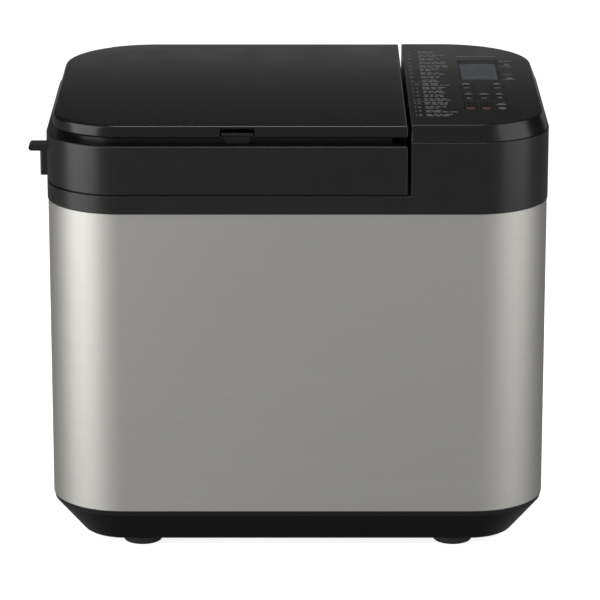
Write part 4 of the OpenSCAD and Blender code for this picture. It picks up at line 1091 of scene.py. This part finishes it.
# %% [markdown]
# ## Keys and window
# Each key is a small cap with a soft edge and a slightly hollow top that guides a fingertip. A flange
# under the skin stops it from falling out, and a stem reaches down to its switch. The window is a tinted
# plate let into the panel, so that the display under it stays dark until it is lit.

# %% Keys and window
KEY_EDGE, KEY_DISH, KEY_SUNK, FLANGE, FLANGE_T, STEM_R = 0.7, 0.18, 0.1, 0.7, 1.5, 2
SKIN_GAP = 0.3
key_top = panel_high.z - KEY_SUNK
flange_z = panel_high.z - PANEL_SKIN - SKIN_GAP - FLANGE_T
for key, (x, y) in zip(KEYS, key_places):
    cap_plan = plan(x - KEY_HALF_W, x + KEY_HALF_W, y - KEY_HALF_D, y + KEY_HALF_D, (KEY_R,) * 4)
    cap = moulding(key + "_cap", cap_plan, [
        (1, flange_z, 0),
        (-FLANGE, flange_z, 0.2),
        (-FLANGE, flange_z + FLANGE_T, 0.2),
        (0, flange_z + FLANGE_T, 0),
        (0, key_top, KEY_EDGE),
        (1.9, key_top, 0),
        (3.2, key_top - KEY_DISH, 0),
    ])
    stem = prism("stem", disc_outline(x, y, STEM_R, 20), box_mm(key)[0].z, flange_z + 0.5)
    cap = combine(key + "_cap", [cap, stem])
    dress(cap, key, "black_gloss", 0, [key])

window_plan = plan(window_low.x, window_high.x, window_low.y, window_high.y, (KEY_R,) * 4)
window = moulding("display_window", window_plan, [(1, window_low.z, 0), (0, window_low.z, 0.2),
                                                  (0, window_high.z, 0.4), (1, window_high.z, 0)])
dress(window, "chassis", "clear_window", 0, ["panel_window"])

# %% [markdown]
# ## Printing on the panel
# The list of programmes and the marks by the keys are printed in light ink. Words would be too small to
# read at arm's length, so each line is a plain number and a few bars as long as words; the bars are
# real shapes a twentieth of a millimetre thick. The numbers are Blender text, turned into a mesh.

# %% Ink
def ink(name, low, high):
    """Screen-printed ink: slightly uneven in cover."""
    material = finish(name, low, Roughness=0.5)
    vary_color(material, grain(material, 1500), low, high)
    vary_roughness(material, grain(material, 300), 0.45, 0.55)
    return material


light_ink = ink("light_ink", (0.10, 0.10, 0.10), (0.17, 0.17, 0.165))
copper_ink = ink("copper_ink", (0.16, 0.075, 0.045), (0.23, 0.11, 0.07))
INK_SUNK = 0.02
ink_low, ink_high = panel_top - INK_SUNK, panel_high.z


def bar(x, y, length, height):
    """A printed bar, from its left end, on its middle line."""
    return prism("bar", box_outline(x, y - height / 2, x + length, y + height / 2, height * 0.2),
                 ink_low, ink_high)


def number_mark(number, x, y, height):
    """A plain number, standing on y, from x to the right."""
    words = bpy.data.curves.new("number", "FONT")
    words.body = str(number)
    words.size = height * MM
    words.extrude = (ink_high - ink_low) / 2 * MM
    writer = in_scene("number", words)
    mesh = final_mesh(writer)
    bpy.data.objects.remove(writer)
    for vertex in mesh.vertices:
        vertex.co += Vector((x, y, (ink_low + ink_high) / 2)) * MM
    return in_scene("number", mesh)


print("ink stands", round(ink_high - panel_top, 3), "mm proud")

# %% Programme list
LIST_X, LIST_BACK, LIST_ROWS, LIST_PITCH = middle + 92, 113, 18, 13.4
NUMBER_DROP, NUMBER_H = 2.2, 6.5
WORD_X, WORD_SPACE, LINE_PITCH, WORD_H = 9.5, 1.3, 4.6, 2.6
LINE_LENGTHS, WORD_LENGTHS = (9, 20), (2.5, 6.5)
GROUP_ROWS, RULE_LENGTH, RULE_H = (5, 9, 14), 24, 0.5
words = random.Random(4)
marks = []
for row in range(LIST_ROWS):
    y = LIST_BACK - row * LIST_PITCH
    marks.append(number_mark(row + 1, LIST_X, y - NUMBER_DROP, NUMBER_H))
    for line in range(2):
        x = LIST_X + WORD_X
        end = x + words.uniform(*LINE_LENGTHS)
        while x < end:
            length = words.uniform(*WORD_LENGTHS)
            marks.append(bar(x, y + (0.5 - line) * LINE_PITCH, length, WORD_H))
            x += length + WORD_SPACE
for row in GROUP_ROWS:
    marks.append(bar(LIST_X, LIST_BACK - (row - 0.5) * LIST_PITCH, RULE_LENGTH, RULE_H))
program_list = combine("program_list", marks)
dress(program_list, "chassis", "black_gloss", look=light_ink)

# %% [markdown]
# The marks by the display are two arrows and short bars, with one long thin bar behind it. Every key
# has a mark on it, a ring with a bar or a dot in it, an arrow or two bars, and most have a pair of
# bars behind them. The first two keys are marked in copper, and so are the combs behind them.

# %% Key marks
def ring_mark(x, y, radius, line):
    """A printed ring, with lines of a width."""
    shape = bmesh.new()
    inner = radius - line
    rows = []
    for r, z in ((radius, ink_low), (radius, ink_high), (inner, ink_high), (inner, ink_low)):
        rows.append([Vector((a, b, z)) * MM for a, b in disc_outline(x, y, r, 32)])
    add_skin(shape, rows, closed=True)
    return new_piece("ring", shape)


def arrow_mark(x, y, half, rise):
    """A printed triangle on a base line, pointing back, or to the front with a negative rise."""
    return prism("arrow", [(x - half, y), (x + half, y), (x, y + rise)], ink_low, ink_high)


def dot_mark(x, y, radius):
    """A printed dot."""
    return prism("dot", disc_outline(x, y, radius, 32), ink_low, ink_high)


# Each bar beside the window: how far past it, how far back, its length and its height
WINDOW_BARS = ((1, 78.6, 4, 2), (6, 78.6, 6, 2), (1.5, 58, 9, 1.6), (1.5, 30, 8, 1.6), (1, 11, 10, 1.6))
# Each arrow there: how far past the window, how far back, and its rise
WINDOW_ARROWS = ((7, 63, 7), (7, 17, -7))
ARROW_HALF, TOP_BAR_BACK, TOP_BAR_LENGTH, MARK_H = 3, 14.5, 33, 2
beside = [bar(window_high.x + x, y, length, height) for x, y, length, height in WINDOW_BARS]
beside += [arrow_mark(window_high.x + x, y, ARROW_HALF, rise) for x, y, rise in WINDOW_ARROWS]
beside.append(bar(window_low.x, window_high.y + TOP_BAR_BACK, TOP_BAR_LENGTH, MARK_H))
print("marks beside the window:", len(beside))

# %% Legends behind the keys
# The longer bar of each key's pair
LEGENDS = {7: 7, 8: 6, 4: 6, 5: 8, 6: 6, 3: 8}
LEGEND_NEAR, LEGEND_FAR = 4, 7.4
COMB_X, COMB_PITCH, COMB_BARS, COMB_BACK, TOOTH_W, TOOTH_H = -5, 2.8, 4, 6.5, 1.5, 7
for number, length in LEGENDS.items():
    x, y = key_places[number - 1]
    beside.append(bar(x - length / 2, y + KEY_HALF_D + LEGEND_NEAR, length, MARK_H))
    beside.append(bar(x - length / 3, y + KEY_HALF_D + LEGEND_FAR, length * 2 / 3, MARK_H))
display_marks = combine("display_marks", beside)
dress(display_marks, "chassis", "black_gloss", look=light_ink)
teeth = [bar(x + COMB_X + step * COMB_PITCH, y + KEY_HALF_D + COMB_BACK, TOOTH_W, TOOTH_H)
         for x, y in key_places[:2] for step in range(COMB_BARS)]
front_marks = combine("front_marks", teeth)
dress(front_marks, "chassis", "black_gloss", look=copper_ink)

# %% Marks on the keys
def key_mark(number, x, y):
    """What is printed on a key."""
    if number in (1, 2):
        return combine("mark", [ring_mark(x, y, 3, 0.8), bar(x - 1.6, y, 3.2, 0.9)])
    if number == 3:
        return combine("mark", [ring_mark(x, y, 3.6, 0.6), dot_mark(x, y, 2.4)])
    if number == 4:
        return arrow_mark(x, y - 2.5, 2.4, 5)
    if number == 6:
        return arrow_mark(x, y + 2.5, 2.4, -5)
    return combine("mark", [bar(x - 2.6, y + side * 1.6, 5.2, 1) for side in (1, -1)])


for number, (x, y) in enumerate(key_places, 1):
    mark = key_mark(number, x, y)
    for vertex in mark.data.vertices:
        vertex.co.z -= KEY_SUNK * MM
    mark.name = f"key_{number}_mark"
    dress(mark, f"key_{number}", "black_gloss", look=copper_ink if number < 3 else light_ink)

# %% [markdown]
# ## Display
# The display is a liquid crystal behind the window, unlit. Its segments show darker than the ground.
# The clock's four figures are made of seven bars each, with a colon between the pairs and a row of
# short bars behind them. The figures are drawn tall, because the display is seen at a slant.

# %% Display segments
DIGIT_W, DIGIT_H, STROKE, STROKE_D, JOINT = 4.2, 22, 0.7, 2.1, 0.3
DIGIT_XS, DIGIT_Y, COLON_YS, COLON_R = (-11.2, -5.6, 1.4, 7.0), -8, (-1, 6), 0.5
MARK_X, MARK_Y, MARK_PITCH, MARK_SIZE = -11, 22, 4.6, 3
lcd_x, lcd_y, _ = middle_of("lcd_module")
lcd_top = box_mm("lcd_module")[1].z


def segment(outline):
    """One dark shape on the display."""
    return prism("segment", outline, lcd_top - 0.02, lcd_top + 0.04)


def seven_bars(x, y):
    """A figure with all seven segments, its front left corner at x and y."""
    half = (DIGIT_H - STROKE_D) / 2
    upright = (DIGIT_H - 3 * STROKE_D) / 2
    shapes = []
    for low in (y, y + half, y + 2 * half):
        shapes.append((x + STROKE, low, x + DIGIT_W - STROKE, low + STROKE_D))
    for side in (x, x + DIGIT_W - STROKE):
        for start in (y + STROKE_D, y + STROKE_D + half):
            shapes.append((side, start + JOINT, side + STROKE, start + upright - JOINT))
    return [segment(box_outline(*corners)) for corners in shapes]


segments = []
for x in DIGIT_XS:
    segments += seven_bars(lcd_x + x, lcd_y + DIGIT_Y)
segments += [segment(disc_outline(lcd_x, lcd_y + y, COLON_R, 12)) for y in COLON_YS]
for step in range(5):
    x, y = lcd_x + MARK_X + step * MARK_PITCH, lcd_y + MARK_Y
    segments.append(segment(box_outline(x, y, x + MARK_SIZE, y + MARK_SIZE)))
figures = combine("display_figures", segments)
segment_look = plastic("display_segment", (0.045, 0.05, 0.058), (0.055, 0.06, 0.068), 0.35)
dress(figures, "chassis", "display", look=segment_look)
